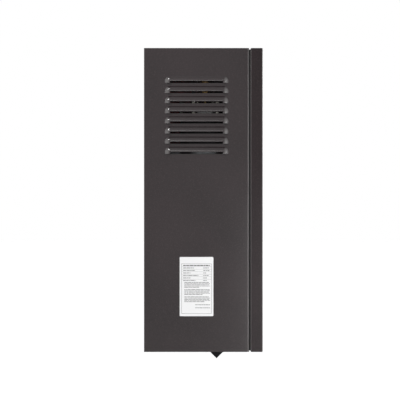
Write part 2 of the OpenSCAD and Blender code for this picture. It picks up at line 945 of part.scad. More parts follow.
// The wedge, inset by t, open at its top when it runs past
module wedge(t, over) {
    half = wedge_h - t * sqrt(2) + over;
    place_frame([switch_x - switch_w / 2 + t, 0, 0], [0, 1, 0], [0, 0, 1]) linear_extrude(switch_w - 2 * t)
        polygon([[-switch_d - half, skirt_h + over], [-switch_d + half, skirt_h + over],
            [-switch_d, t * sqrt(2) - switch_drop]]);
}

module switch_housing() {
    slot_x = rocker_w / 2 + loose;
    slot_y = rocker_l / 2 + slot_room;
    rim_half = switch_w / 2 + wedge_rim;
    color([0.07, 0.07, 0.07]) difference() {
        union() {
            difference() {
                union() {
                    wedge(0, 0);
                    block([switch_x - rim_half, -switch_d - wedge_h - wedge_rim, skirt_h - rim_t],
                        [switch_x + rim_half, -switch_d + wedge_h + wedge_rim, skirt_h]);
                }
                wedge(wedge_wall, past);
            }
            on_slope() for (side = [-1, 1]) translate([side * (slot_x + cheek_t / 2), 0, 0])
                block([-cheek_t / 2, -cheek_l / 2, pivot_z - cheek_in],
                    [cheek_t / 2, cheek_l / 2, -wedge_wall / 2]);
        }
        on_slope() {
            block([-slot_x, -slot_y, -wedge_wall - past], [slot_x, slot_y, past]);
            rod_x([-slot_x - cheek_t - past, 0, pivot_z], pivot_r + run_fit, 2 * (slot_x + cheek_t + past));
        }
    }
}

module power_rocker() {
    end = rocker_l / 2;
    rise = end * tan(rocker_tilt);
    pin = rocker_w / 2 + loose + cheek_t;
    color([0.45, 0.45, 0.45]) on_slope() translate([0, 0, pivot_z]) rotate([rocker_tilt, 0, 0]) {
        place_frame([-rocker_w / 2, 0, -pivot_z], [0, 1, 0], [0, 0, 1]) linear_extrude(rocker_w)
            polygon([[1 - end, -rocker_in], [end - 1, -rocker_in], [end, -rocker_skirt],
                [end, rocker_low + rise], [0, rocker_low], [-end, rocker_low + rise], [-end, -rocker_skirt]]);
        rod_x([-pin, 0, 0], pivot_r, 2 * pin);
    }
}

// Heater

// Places its children on the heater's axis at height z
module on_core(z) {
    translate([core_x, core_y, z]) children();
}

// Six-sided heads or nuts, and shanks, stand on this ring
module on_bolt_ring() {
    for (i = [0 : bolt_count - 1])
        rotate([0, 0, (i + 0.5) * 360 / bolt_count]) translate([bolt_ring, 0, 0]) children();
}

module tank() {
    color("silver") difference() {
        union() {
            on_core(tank_rise) cylinder(r = tank_r, h = tank_l);
            on_core(tank_top) cylinder(r = tank_flange_r, h = plate_t);
            on_core(pump_high) cylinder(r = pipe_r, h = tank_rise - pump_high + tank_wall);
            rod_x([core_x + tank_r - 2 * tank_wall, core_y, supply_z], collar_r, 2 * tank_wall + collar_out);
        }
        on_core(tank_rise + tank_wall) cylinder(r = tank_r - tank_wall, h = tank_l + plate_t);
        on_core(pump_high - past) cylinder(r = bore_r, h = tank_rise);
        rod_x([core_x, core_y, supply_z], bore_r, tank_r + collar_out + past);
        rod_x([core_x + tank_r + past, core_y, supply_z], pipe_r + run_fit, collar_out);
        on_core(0) on_bolt_ring() rod_z([0, 0, tank_top - past], bolt_d / 2 + loose, plate_t + 2 * past);
    }
}

module tank_gasket() {
    color("firebrick") on_core(gasket_z) difference() {
        cylinder(r = tank_flange_r, h = tank_gasket_t);
        translate([0, 0, -past]) cylinder(r = tank_r - gasket_in, h = tank_gasket_t + 2 * past);
        on_bolt_ring() rod_z([0, 0, -past], bolt_d / 2 + loose, tank_gasket_t + 2 * past);
    }
}

module element_plate() {
    color("silver") on_core(plate_z) difference() {
        cylinder(r = tank_flange_r, h = plate_t);
        rod_z([0, 0, -past], vent_stem_r + run_fit, plate_t + 2 * past);
        for (x = element_places, side = [-1, 1])
            rod_z([x, side * element_legs / 2, -past], element_r + run_fit, plate_t + 2 * past);
        on_bolt_ring() rod_z([0, 0, -past], bolt_d / 2 + loose, plate_t + 2 * past);
    }
}

module heating_elements() {
    color("gray") for (x = element_places) {
        for (side = [-1, 1]) on_core(element_low)
            rod_z([x, side * element_legs / 2, 0], element_r, terminal_top - element_low);
        on_core(element_low) translate([x, 0, 0]) place_frame([0, 0, 0], [0, 1, 0], [0, 0, -1])
            rotate_extrude(angle = 180) translate([element_legs / 2, 0]) circle(r = element_r);
    }
}

module flange_bolts() {
    color("gainsboro") on_core(0) on_bolt_ring() {
        translate([0, 0, plate_top]) cylinder(r = bolt_head_r, h = bolt_nut_h, $fn = 6);
        rod_z([0, 0, tank_top - bolt_nut_h - past], bolt_d / 2, plate_top - tank_top + bolt_nut_h + 2 * past);
        nut_z([0, 0, tank_top - bolt_nut_h], bolt_head_r, bolt_nut_h, bolt_d / 2 + run_fit);
    }
}

module tank_insulation() {
    color([0.1, 0.1, 0.1]) difference() {
        on_core(foam_low) cylinder(r = foam_r, h = foam_high - foam_low);
        on_core(foam_low - past) cylinder(r = tank_r + run_fit, h = foam_high);
        rod_x([core_x, core_y, supply_z], collar_r + loose, foam_r + past);
        block([core_x - cutout_half - loose, seat_y, cutout_z - cutout_half - loose],
            [core_x + cutout_half + loose, core_y, cutout_z + cutout_half + loose]);
    }
}

// Two clamps that hold the tank to the back plate, and two rails that carry the vessel
module inner_brackets() {
    color("lightslategray") {
        for (z = [clamp_low, clamp_high]) difference() {
            union() {
                on_core(z) cylinder(r = foam_r + clamp_t, h = clamp_h);
                for (side = [-1, 1]) translate([side * (arm_w - clamp_t) / 2, 0, 0])
                    block([core_x - clamp_t / 2, core_y + tank_r, z],
                        [core_x + clamp_t / 2, -sheet, z + clamp_h]);
                block([core_x - arm_w / 2, -sheet - clamp_t, z], [core_x + arm_w / 2, -sheet, z + clamp_h]);
            }
            on_core(z - past) cylinder(r = foam_r, h = clamp_h + 2 * past);
        }
        for (z = [rail_bottom, rail_upper]) difference() {
            block([vessel_left + rail_inset, vessel_back, z],
                [vessel_right - rail_inset, -sheet, z + rail_w]);
            block([vessel_left, vessel_back + clamp_t, z + clamp_t],
                [vessel_right, past, z + rail_w - clamp_t]);
        }
    }
}

module vent_body() {
    color("goldenrod") on_core(0) difference() {
        union() {
            rod_z([0, 0, plate_z], vent_stem_r, vent_z - plate_z + past);
            rod_z([0, 0, vent_z], vent_r, vent_h);
            rod_z([0, 0, vent_top - past], vent_neck_r, vent_neck_h + past);
        }
        rod_z([0, 0, plate_z - past], vent_stem_r - vent_wall, vent_z - plate_z + vent_wall + 2 * past);
        rod_z([0, 0, vent_z + vent_wall], vent_r - vent_wall, vent_h - 2 * vent_wall);
        rod_z([0, 0, vent_top - vent_wall - past], vent_hole_r, vent_neck_h + vent_wall + 2 * past);
    }
}

module vent_float() {
    room = vent_h - 2 * vent_wall;
    color("ivory") on_core(vent_z + vent_wall + loose)
        cylinder(r = vent_r - vent_wall - float_gap, h = room - float_travel - 2 * loose - float_gap);
}

module vent_cap() {
    color([0.1, 0.1, 0.1]) on_core(vent_top + cap_gap) difference() {
        union() {
            cylinder(r = vent_neck_r + cap_wall, h = cap_h);
            for (i = [0 : cap_ribs - 1]) rotate([0, 0, 360 / cap_ribs * i])
                block([0, -cap_rib, 0], [vent_neck_r + cap_wall + cap_rib, cap_rib, cap_h]);
        }
        rod_z([0, 0, -past], vent_neck_r + run_fit, vent_neck_h - cap_gap + past + loose);
    }
}

module thermal_cutout() {
    color([0.12, 0.12, 0.12]) difference() {
        union() {
            difference() {
                block([core_x - cutout_half, seat_y, cutout_z - cutout_half],
                    [core_x + cutout_half, core_y - tank_r / 2, cutout_z + cutout_half]);
                on_core(cutout_z - 2 * cutout_half) cylinder(r = tank_r, h = 4 * cutout_half);
            }
            rod_y([core_x, seat_y + past, cutout_z], cutout_r, cutout_l + past);
        }
        rod_y([core_x, seat_y - cutout_l + reset_in + reset_travel + slip, cutout_z], reset_r + run_fit,
            2 * cutout_l);
    }
}

module reset_button() {
    color("red") rod_y([core_x, seat_y - cutout_l + reset_in, cutout_z], reset_r, reset_in + reset_out);
}

module pipe_sensor() {
    color([0.15, 0.15, 0.15]) difference() {
        union() {
            rod_z([supply_x, core_y, sensor_z], pipe_r + sensor_wall, sensor_h);
            block([supply_x - sensor_w / 2, core_y - pipe_r - sensor_h, sensor_z],
                [supply_x + sensor_w / 2, core_y, sensor_z + sensor_h]);
        }
        rod_z([supply_x, core_y, sensor_z - past], pipe_r + run_fit, sensor_h + 2 * past);
    }
}

// Pump, with its shaft along Y

module pump_housing() {
    color("dimgray") difference() {
        union() {
            rod_y([core_x, core_y + volute_d / 2, pump_rise], volute_r, volute_d);
            on_core(pump_low) cylinder(r = port_r, h = pump_l);
        }
        rod_y([core_x, core_y + volute_d / 2 - volute_wall, pump_rise], volute_r - volute_wall, volute_d);
        on_core(pump_low - past) cylinder(r = bore_r, h = pump_l + 2 * past);
    }
}

module pump_motor() {
    color("darkslategray") difference() {
        union() {
            rod_y([core_x, volute_y, pump_rise], motor_flange_r, volute_y - motor_y);
            rod_y([core_x, motor_y + past, pump_rise], motor_r, motor_y - motor_end_y + past);
        }
        rod_y([core_x, volute_y + past, pump_rise], shaft_r + run_fit, motor_l - 1);
        rod_y([core_x, motor_y - rotor_room, pump_rise], rotor_r + rotor_room, rotor_cave_l);
    }
}

module pump_rotor() {
    color("silver") {
        rod_y([core_x, volute_y + volute_d - volute_wall - shaft_end, pump_rise], shaft_r, shaft_l);
        rod_y([core_x, motor_y - 2 * rotor_room, pump_rise], rotor_r, rotor_cave_l - 2 * rotor_room);
    }
}

module pump_impeller() {
    hub_l = volute_d - volute_wall - shaft_end - impeller_gap - 2;
    color("tan") difference() {
        translate([core_x, volute_y + impeller_gap, pump_rise]) rotate([-90, 0, 0]) {
            cylinder(r = 2 * shaft_r, h = hub_l);
            cylinder(r = impeller_r, h = impeller_t);
            for (i = [0 : vane_count - 1]) rotate([0, 0, 360 / vane_count * i])
                block([1.5 * shaft_r, -impeller_t / 2, 0], [impeller_r - 1, impeller_t / 2, hub_l - vane_l]);
        }
        rod_y([core_x, core_y + volute_d, pump_rise], shaft_r + slip / 10, 2 * volute_d);
    }
}

module pump_box() {
    color([0.12, 0.12, 0.12]) difference() {
        block([core_x - pump_box_w / 2, pump_box_y, pump_rise - pump_box_w / 2],
            [core_x + pump_box_w / 2, motor_end_y, pump_rise + pump_box_w / 2]);
        rod_y([core_x, pump_box_y + knob_stem_l, pump_rise], knob_stem_r + run_fit, knob_stem_l + past);
    }
}

module speed_knob() {
    color("orangered") difference() {
        union() {
            rod_y([core_x, pump_box_y - loose, pump_rise], speed_knob_r, knob_d);
            rod_y([core_x, pump_box_y + knob_stem_l - loose, pump_rise], knob_stem_r, knob_stem_l + past);
        }
        block([core_x - knob_mark / 2, pump_box_y - knob_d - past, pump_rise],
            [core_x + knob_mark / 2, pump_box_y - knob_d + knob_mark / 2, pump_rise + speed_knob_r + past]);
    }
}

// A union nut that grips a port of the pump and the narrower pipe that meets it
module union_nut(face_z, way) {
    low = way > 0 ? face_z - union_over : face_z - union_grip;
    wide = way > 0 ? face_z - union_over - past : face_z;
    difference() {
        on_core(low) cylinder(r = port_r + nut_wall, h = union_over + union_grip, $fn = 6);
        on_core(low - past) cylinder(r = pipe_r + run_fit, h = union_over + union_grip + 2 * past);
        on_core(wide) cylinder(r = port_r + run_fit, h = union_over + past);
    }
}

// A nut along a hose end, from a point towards its far end
module hose_nut(start, way) {
    across = abs(way.z) > 0.5 ? [1, 0, 0] : [0, 0, 1];
    place_frame(start, across, cross(way, across)) difference() {
        cylinder(r = vessel_port_r + hose_nut_wall, h = hose_nut_l, $fn = 6);
        rod_z([0, 0, -past], hose_r + run_fit, hose_nut_l + 2 * past);
    }
}

module union_nuts() {
    color("goldenrod") {
        union_nut(pump_high, 1);
        union_nut(pump_low, -1);
        hose_nut([core_x, rear_port_y, branch_z], [0, 1, 0]);
        hose_nut([vessel_x, vessel_y, vessel_rise - vessel_port_h], [0, 0, -1]);
    }
}

// Water connections

module supply_route(r, over) {
    bent_rod([[core_x + tank_r + past - over, core_y, supply_z], [supply_x, core_y, supply_z],
        [supply_x, core_y, socket_top - socket_seat - over]], r, pipe_bend);
}

module supply_pipe() {
    color("peru") difference() {
        supply_route(pipe_r, 0);
        supply_route(bore_r, past);
    }
}

// The lower end that the return and the supply share: socket, thread and seat on the bottom panel
module socket_outside(x, top) {
    rod_z([x, core_y, socket_rise], socket_r, top - socket_rise);
    rod_z([x, core_y, deck_z], collar_seat_r, collar_seat_h);
}

module socket_inside(x, top) {
    rod_z([x, core_y, socket_rise - past], thread_r, thread_l + past);
    rod_z([x, core_y, socket_rise], bore_r, top - socket_rise + past);
}

module supply_socket() {
    color("goldenrod") difference() {
        socket_outside(supply_x, socket_top);
        socket_inside(supply_x, socket_top);
        rod_z([supply_x, core_y, socket_top - socket_seat], pipe_r + run_fit, socket_seat + past);
    }
}

module return_block() {
    color("goldenrod") difference() {
        union() {
            socket_outside(core_x, block_top);
            on_core(block_top - past) cylinder(r = pipe_r, h = pump_low - block_top + past);
            rod_y([core_x, core_y, branch_z], relief_port_r, core_y - relief_face_y);
            rod_y([core_x, rear_port_y, branch_z], vessel_port_r, rear_port_y - core_y);
            rod_y([core_x, capillary_port_y, capillary_z], 2 * capillary_r, capillary_port_y - core_y);
            rod_x([drain_face_x, core_y, branch_z], 2 * drain_r, core_x - drain_face_x);
        }
        socket_inside(core_x, pump_low);
        rod_y([core_x, core_y, branch_z], relief_bore_r, core_y - relief_face_y + past);
        rod_y([core_x, rear_port_y + past, branch_z], hose_r - past, rear_port_y - core_y + past);
        rod_x([drain_face_x - past, core_y, branch_z], drain_r + run_fit, drain_bore_l + past);
        rod_x([drain_face_x, core_y, branch_z], drain_r / 2, core_x - drain_face_x);
    }
}

module drain_screw() {
    head_x = drain_face_x - loose - drain_head_l;
    color("gainsboro") difference() {
        union() {
            rod_x([drain_face_x, core_y, branch_z], drain_r, drain_bore_l - loose);
            rod_x([head_x, core_y, branch_z], drain_head_r, drain_head_l);
            rod_x([drain_face_x - past, core_y, branch_z], drain_r, 2 * past);
        }
        block([head_x - past, core_y - drain_slot / 2, branch_z - 2 * drain_r],
            [head_x + drain_slot / 2, core_y + drain_slot / 2, branch_z + 2 * drain_r]);
    }
}

// Safety valve, with its spindle along Z

module relief_body() {
    color("goldenrod") difference() {
        union() {
            rod_z([core_x, relief_y, socket_rise], relief_r, relief_top - socket_rise);
            rod_z([core_x, relief_y, relief_top - past], relief_neck_r, relief_neck_h + past);
            rod_y([core_x, relief_face_y, branch_z], relief_port_r, relief_face_y - relief_y);
        }
        rod_z([core_x, relief_y, socket_rise - past], relief_thread_r, relief_thread_l + past);
        rod_y([core_x, relief_face_y + past, branch_z], relief_bore_r, relief_face_y - relief_y + past);
        rod_z([core_x, relief_y, branch_z - relief_bore_r], relief_bore_r,
            seat_z - branch_z + relief_bore_r + past);
        rod_z([core_x, relief_y, seat_z], chamber_r, chamber_top - seat_z);
        rod_z([core_x, relief_y, chamber_top - past], spindle_r + run_fit, relief_top);
        rod_z([core_x, relief_y - drip_gap, socket_rise + relief_thread_l - past], drip_r,
            seat_z - socket_rise - relief_thread_l + 3 * past);
    }
}

module relief_spindle() {
    color("silver") {
        rod_z([core_x, relief_y, seat_z + slip], chamber_r - 1, disc_h);
        rod_z([core_x, relief_y, seat_z + disc_h], spindle_r, spindle_top - seat_z - disc_h);
    }
}

module relief_spring() {
    color("gray") difference() {
        rod_z([core_x, relief_y, seat_z + slip + disc_h], chamber_r - spring_gap,
            chamber_top - seat_z - slip - disc_h);
        rod_z([core_x, relief_y, seat_z], chamber_r - 2 * spring_gap, chamber_top);
    }
}

module relief_knob() {
    color([0.6, 0.08, 0.05]) difference() {
        union() {
            rod_z([core_x, relief_y, relief_knob_z], relief_knob_r, relief_knob_h);
            for (i = [0 : relief_ribs - 1])
                translate([core_x, relief_y, relief_knob_z]) rotate([0, 0, 360 / relief_ribs * i])
                    block([0, -1.5 * relief_rib, 0],
                        [relief_knob_r + relief_rib, 1.5 * relief_rib, relief_knob_h - 4 * relief_rib]);
        }
        rod_z([core_x, relief_y, relief_knob_z - past], relief_neck_r + run_fit,
            relief_neck_h - knob_rise + past + loose);
        rod_z([core_x, relief_y, relief_knob_z], spindle_r + loose,
            spindle_top - relief_knob_z + relief_lift + slip);
    }
}

// Pressure gauge that looks down through the bottom panel

module gauge_body() {
    color([0.12, 0.12, 0.12]) difference() {
        union() {
            rod_z([gauge_x, core_y, gauge_low], gauge_r + gauge_lip, skirt_h - gauge_low);
            rod_z([gauge_x, core_y, gauge_low], gauge_r, gauge_top - gauge_low);
            rod_z([gauge_x, core_y, gauge_top - past], gauge_stem_r, gauge_stem_h + past);
        }
        rod_z([gauge_x, core_y, gauge_low - past], gauge_r - gauge_wall, dial_z - gauge_low + past);
        rod_z([gauge_x, core_y, dial_z - past], arbor_r + run_fit, arbor_in + 2 * past);
    }
}

module gauge_glass() {
    color([0.8, 0.9, 0.95, 0.35])
        rod_z([gauge_x, core_y, gauge_low], gauge_r - gauge_wall - run_fit, glass_t);
}

module gauge_needle() {
    color("red") {
        rod_z([gauge_x, core_y, needle_z - 1], needle_hub_r, needle_hub_h);
        rod_z([gauge_x, core_y, needle_z], arbor_r, dial_z - needle_z + arbor_in);
        block([gauge_x - needle_l, core_y - needle_w / 2, needle_z - needle_t / 2],
            [gauge_x + needle_tail, core_y + needle_w / 2, needle_z + needle_t / 2]);
    }
}

module gauge_capillary() {
    color("peru") bent_rod([[gauge_x, core_y, gauge_top + gauge_stem_h], [gauge_x, core_y, capillary_z],
        [gauge_x, capillary_back_y, capillary_z], [core_x, capillary_back_y, capillary_z],
        [core_x, capillary_port_y, capillary_z]], capillary_r, lead_bend);
}

// Expansion vessel

// The vessel's form, inset by t
module vessel_form(t) {
    r = vessel_corner - t;
    edge = vessel_edge - t;
    intersection() {
        translate([0, vessel_back - t, 0]) rotate([90, 0, 0]) linear_extrude(vessel_d - 2 * t)
            round_rect([vessel_left + t, vessel_rise + t], [vessel_right - t, vessel_rise + vessel_h - t], r);
        place_frame([vessel_left, 0, 0], [0, 1, 0], [0, 0, 1]) linear_extrude(vessel_w)
            round_rect([vessel_back - vessel_d + t, vessel_rise + t],
                [vessel_back - t, vessel_rise + vessel_h - t], edge);
    }
}

module expansion_vessel() {
    color("firebrick") difference() {
        union() {
            vessel_form(0);
            rod_z([vessel_x, vessel_y, vessel_rise - vessel_port_h], vessel_port_r,
                vessel_port_h + 2 * vessel_wall);
            rod_z([vessel_x, vessel_y, vessel_rise + vessel_h - 2 * vessel_wall], vessel_valve_r,
                vessel_valve_h + 2 * vessel_wall);
        }
        vessel_form(vessel_wall);
        rod_z([vessel_x, vessel_y, vessel_rise - vessel_port_h - past], hose_r - past,
            vessel_port_h + 4 * past);
    }
}

module vessel_membrane() {
    color([0.08, 0.08, 0.08]) intersection() {
        vessel_form(vessel_wall + slip / 2);
        block([vessel_left, vessel_y - membrane_t / 2, vessel_rise + membrane_rise],
            [vessel_right, vessel_y + membrane_t / 2, vessel_rise + vessel_h]);
    }
}

module hose_route(r, over) {
    bent_rod([[core_x, rear_port_y - over, branch_z], [core_x, vessel_y, branch_z],
        [vessel_x, vessel_y, branch_z], [vessel_x, vessel_y, vessel_rise - vessel_port_h + over]],
        r, 3 * hose_r);
}

module vessel_hose() {
    color([0.25, 0.25, 0.27]) difference() {
        hose_route(hose_r, 0);
        hose_route(hose_r - hose_wall, past);
    }
}

// Electrics

module electronics_tray() {
    color("lightslategray") {
        block([tray_left, tray_front, tray_low], [inner_w, tray_y, tray_top]);
        block([inner_w - sheet, tray_front - flange_w, tray_low], [inner_w, tray_y, tray_top]);
        for (x = [board_x + board_inset, board_x + board_w - board_inset],
            z = [board_z + board_inset, board_z + board_h - board_inset])
            rod_y([x, tray_front + sheet / 2, z], boss_r, board_gap + sheet / 2);
    }
}

module power_board() {
    color("darkgreen") {
        block([board_x, board_face, board_z], [board_x + board_w, board_face + board_t, board_z + board_h]);
        block([board_x + plug_inset, board_face - plug_d, board_z],
            [board_x + plug_inset + plug_w, board_face, board_z + plug_w]);
        block([strip_x, board_face - plug_d, board_z], [strip_x + strip_w, board_face, board_z + plug_w]);
        for (i = [0 : capacitor_count - 1])
            rod_y([capacitor_x + capacitor_pitch * i, board_face, capacitor_z], capacitor_r, relay_d);
        block([coil_x, board_face - relay_d, coil_z], [coil_x + coil_w, board_face, coil_z + coil_h]);
    }
}

module relays() {
    color([0.1, 0.1, 0.12]) for (i = [0 : relay_count - 1])
        block([relay_x + relay_pitch * i - relay_w / 2, board_face - relay_d, relay_top - relay_h],
            [relay_x + relay_pitch * i + relay_w / 2, board_face, relay_top]);
}

module terminal_block() {
    color("whitesmoke") difference() {
        block([strip_x, tray_front - strip_d, strip_z], [strip_x + strip_w, tray_front, strip_z + strip_h]);
        for (i = [0 : pole_count - 1])
            rod_y([pole(i), tray_front - strip_d + pole_in, strip_z + strip_h / 2], pole_r, pole_in + past);
    }
}

// Middle of a pole of the terminal block
function pole(i) = strip_x + strip_w * (i + 0.5) / pole_count;

// Leads from the elements to the relays, from the terminal block to the board, and the pump's lead
module wiring() {
    color("saddlebrown") {
        for (row = [0, 1], i = [0 : 2]) {
            y = core_y + (row == 0 ? 0.5 : -0.5) * element_legs;
            z = terminal_top + lead_rise + (2 - i) * lead_step;
            x = relay_x + relay_pitch * (2 * (2 - i) + row);
            bent_rod([[core_x + element_places[i], y, terminal_top], [core_x + element_places[i], y, z],
                [x, y, z], [x, relay_y, z], [x, relay_y, relay_top]], lead_r, lead_bend);
        }
        for (i = [0 : pole_count - 1])
            straight_rod([pole(i), lead_y, strip_z + strip_h], [pole(i), lead_y, board_z], lead_r);
        bent_rod([[core_x + pump_box_w / 2, pump_lead_y, pump_rise], [pump_lead_x, pump_lead_y, pump_rise],
            [pump_lead_x, pump_lead_y, tray_low], [pump_lead_x, lead_y, tray_low],
            [pump_lead_x, lead_y, board_z]], lead_r, lead_bend);
    }
}

back_plate();
left_side();
right_side();
top_panel();
bottom_panel();
wall_bracket();
rating_label();
cable_grommets();
switch_housing();
power_rocker();
front_cover();
cover_gasket();
cover_screws();
display_window();
cross_rail();
control_board();
display_module();
key_minus();
key_mode();
key_plus();
tank();
tank_gasket();
element_plate();
heating_elements();
flange_bolts();
tank_insulation();
inner_brackets();
vent_body();
vent_float();
vent_cap();
thermal_cutout();
reset_button();
pipe_sensor();
pump_housing();
pump_motor();
pump_rotor();
pump_impeller();
pump_box();
speed_knob();
union_nuts();
supply_pipe();
supply_socket();
return_block();
drain_screw();
relief_body();
relief_spindle();
relief_spring();
relief_knob();
gauge_body();
gauge_glass();
gauge_needle();
gauge_capillary();
expansion_vessel();
vessel_membrane();
vessel_hose();
electronics_tray();
power_board();
relays();
terminal_block();
wiring();
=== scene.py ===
import json
import math
import random
from functools import partial

import bmesh
import bpy
from mathutils import Matrix, Vector


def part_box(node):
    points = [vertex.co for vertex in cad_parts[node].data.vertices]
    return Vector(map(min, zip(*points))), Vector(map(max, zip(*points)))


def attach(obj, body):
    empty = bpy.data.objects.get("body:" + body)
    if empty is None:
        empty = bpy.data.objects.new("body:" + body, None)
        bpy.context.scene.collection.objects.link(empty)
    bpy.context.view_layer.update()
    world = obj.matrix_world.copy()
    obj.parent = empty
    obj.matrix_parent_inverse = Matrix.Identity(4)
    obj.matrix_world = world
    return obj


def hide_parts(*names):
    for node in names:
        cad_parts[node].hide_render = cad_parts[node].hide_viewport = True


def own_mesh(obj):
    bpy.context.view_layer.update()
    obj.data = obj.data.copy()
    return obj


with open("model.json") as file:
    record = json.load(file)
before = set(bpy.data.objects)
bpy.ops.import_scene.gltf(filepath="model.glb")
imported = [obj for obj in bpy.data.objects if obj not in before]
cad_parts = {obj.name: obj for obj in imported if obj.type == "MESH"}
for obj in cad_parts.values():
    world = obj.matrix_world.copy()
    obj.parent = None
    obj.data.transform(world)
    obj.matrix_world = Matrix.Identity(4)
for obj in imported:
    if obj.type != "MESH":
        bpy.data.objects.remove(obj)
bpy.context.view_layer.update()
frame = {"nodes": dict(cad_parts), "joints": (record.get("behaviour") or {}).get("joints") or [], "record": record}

NODES = frame["nodes"]
RECORD = frame["record"]
JOINTS = {joint["name"]: joint for joint in frame["joints"]}
SLOT_OF = {part["node"]: part["material_slot"] for part in RECORD["subparts"]}
MM = 0.001
LEFT = (-1, 0, 0)
RIGHT = (1, 0, 0)
FRONT = (0, -1, 0)
UP = (0, 0, 1)
DOWN = (0, 0, -1)


def new_object(name, data):
    made = bpy.data.objects.new(name, data)
    bpy.context.scene.collection.objects.link(made)
    return made


def aim(thing, target):
    """Turns a lamp or a camera towards a point."""
    way = Vector(target) - thing.location
    thing.rotation_euler = way.to_track_quat("-Z", "Y").to_euler()


# Camera, at the photograph's angle: square to the left side panel

PICTURE_WIDTH = 0.8488
PICTURE_CENTRE = (-0.1188, 0.3225)
CAMERA_DISTANCE = 5.0
CAMERA_REACH = 100
SENSOR = 36.0


def make_camera():
    data = bpy.data.cameras.new("camera")
    data.sensor_width = SENSOR
    data.lens = SENSOR * CAMERA_DISTANCE / PICTURE_WIDTH
    data.clip_end = CAMERA_REACH
    camera = new_object("camera", data)
    side_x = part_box("rating_label")[1].x
    y, z = PICTURE_CENTRE
    camera.location = (side_x - CAMERA_DISTANCE, y, z)
    aim(camera, (side_x, y, z))
    bpy.context.scene.camera = camera


# Materials

# Sockets of the Mix node when it mixes colours
MIX_FACTOR = 0
MIX_A = 6
MIX_B = 7
MIX_RESULT = 2


def shade(color, factor):
    return tuple(min(1.0, channel * factor) for channel in color)


class Nodes:
    """Short calls that add nodes to the tree of a material or of the world."""

    def __init__(self, tree):
        self.tree = tree

    def feed(self, socket, value):
        """Links a node's output to a socket, or sets the socket to a plain value."""
        if isinstance(value, bpy.types.NodeSocket):
            self.tree.links.new(value, socket)
        else:
            socket.default_value = value

    def node(self, kind, inputs=(), **settings):
        made = self.tree.nodes.new(kind)
        for setting, value in settings.items():
            setattr(made, setting, value)
        for socket, value in dict(inputs).items():
            self.feed(made.inputs[socket], value)
        return made

    def math(self, operation, *values):
        return self.node("ShaderNodeMath", enumerate(values), operation=operation).outputs[0]

    def span(self, value, low, high, to_low=0.0, to_high=1.0):
        inputs = {"Value": value, "From Min": low, "From Max": high, "To Min": to_low, "To Max": to_high}
        return self.node("ShaderNodeMapRange", inputs).outputs[0]

    def strength(self, others, seen):
        """One strength for rays that see the stage, also by a mirror or glass, and one for others."""
        path = self.node("ShaderNodeLightPath").outputs
        shows = path["Is Camera Ray"]
        for output in ("Is Glossy Ray", "Is Transmission Ray"):
            shows = self.math("MAXIMUM", shows, path[output])
        return self.span(shows, 0, 1, others, seen)


class Finish(Nodes):
    """A procedural material, whose nodes feed a Principled shader."""

    def __init__(self, name, color, rough, metallic=0.0, **sockets):
        self.material = bpy.data.materials.new(name)
        self.material.use_nodes = True
        self.material.diffuse_color = (*color, 1)
        super().__init__(self.material.node_tree)
        self.shader = self.tree.nodes["Principled BSDF"]
        self.color = color
        self.bump = None
        self.put("Base Color", (*color, 1))
        self.put("Roughness", rough)
        self.put("Metallic", metallic)
        for socket, value in sockets.items():
            self.put(socket.replace("_", " "), value)

    def put(self, name, value):
        self.feed(self.shader.inputs[name], value)

    def axes(self, output):
        """The X, Y and Z of the object's own coordinates or of its normal."""
        coords = self.node("ShaderNodeTexCoord").outputs[output]
        return self.node("ShaderNodeSeparateXYZ", {"Vector": coords}).outputs

    def place(self, scale=(1, 1, 1), turn=(0, 0, 0)):
        """The object's own coordinates, stretched and turned."""
        coords = self.node("ShaderNodeTexCoord").outputs["Object"]
        inputs = {"Vector": coords, "Scale": scale, "Rotation": turn}
        return self.node("ShaderNodeMapping", inputs).outputs[0]

    def noise(self, scale, detail, rough=0.5, at=None):
        inputs = {"Scale": scale, "Detail": detail, "Roughness": rough, "Vector": at or self.place()}
        return self.node("ShaderNodeTexNoise", inputs).outputs["Fac"]

    def cells(self, scale, output="Distance"):
        """Cells, by default as the distance to their middles."""
        inputs = {"Scale": scale, "Vector": self.place()}
        return self.node("ShaderNodeTexVoronoi", inputs).outputs[output]

    def patches(self, scale):
        """Cells, each with a value of its own."""
        return self.node("ShaderNodeSeparateColor", {"Color": self.cells(scale, "Color")}).outputs[0]

    def waves(self, scale, direction, at=None):
        inputs = {"Scale": scale, "Vector": at or self.place()}
        return self.node("ShaderNodeTexWave", inputs, bands_direction=direction).outputs["Fac"]

    def blend(self, factor, a, b):
        """A colour between a and b."""
        a, b = [(*color, 1) if isinstance(color, tuple) else color for color in (a, b)]
        inputs = {MIX_FACTOR: factor, MIX_A: a, MIX_B: b}
        return self.node("ShaderNodeMix", inputs, data_type="RGBA").outputs[MIX_RESULT]

    def tint(self, pattern, low, high):
        """Shades the colour by one factor where the pattern is low and by another where it is high."""
        self.put("Base Color", self.blend(pattern, shade(self.color, low), shade(self.color, high)))

    def roughen(self, pattern, to_low, to_high, low=0.3, high=0.7):
        """Takes the roughness from one value to another as the pattern goes from low to high."""
        self.put("Roughness", self.span(pattern, low, high, to_low, to_high))

    def emboss(self, height, strength, depth):
        """Adds a bump, of a depth in millimetres, on top of the ones before it."""
        inputs = {"Height": height, "Strength": strength, "Distance": depth * MM}
        if self.bump is not None:
            inputs["Normal"] = self.bump
        self.bump = self.node("ShaderNodeBump", inputs).outputs[0]
        self.put("Normal", self.bump)


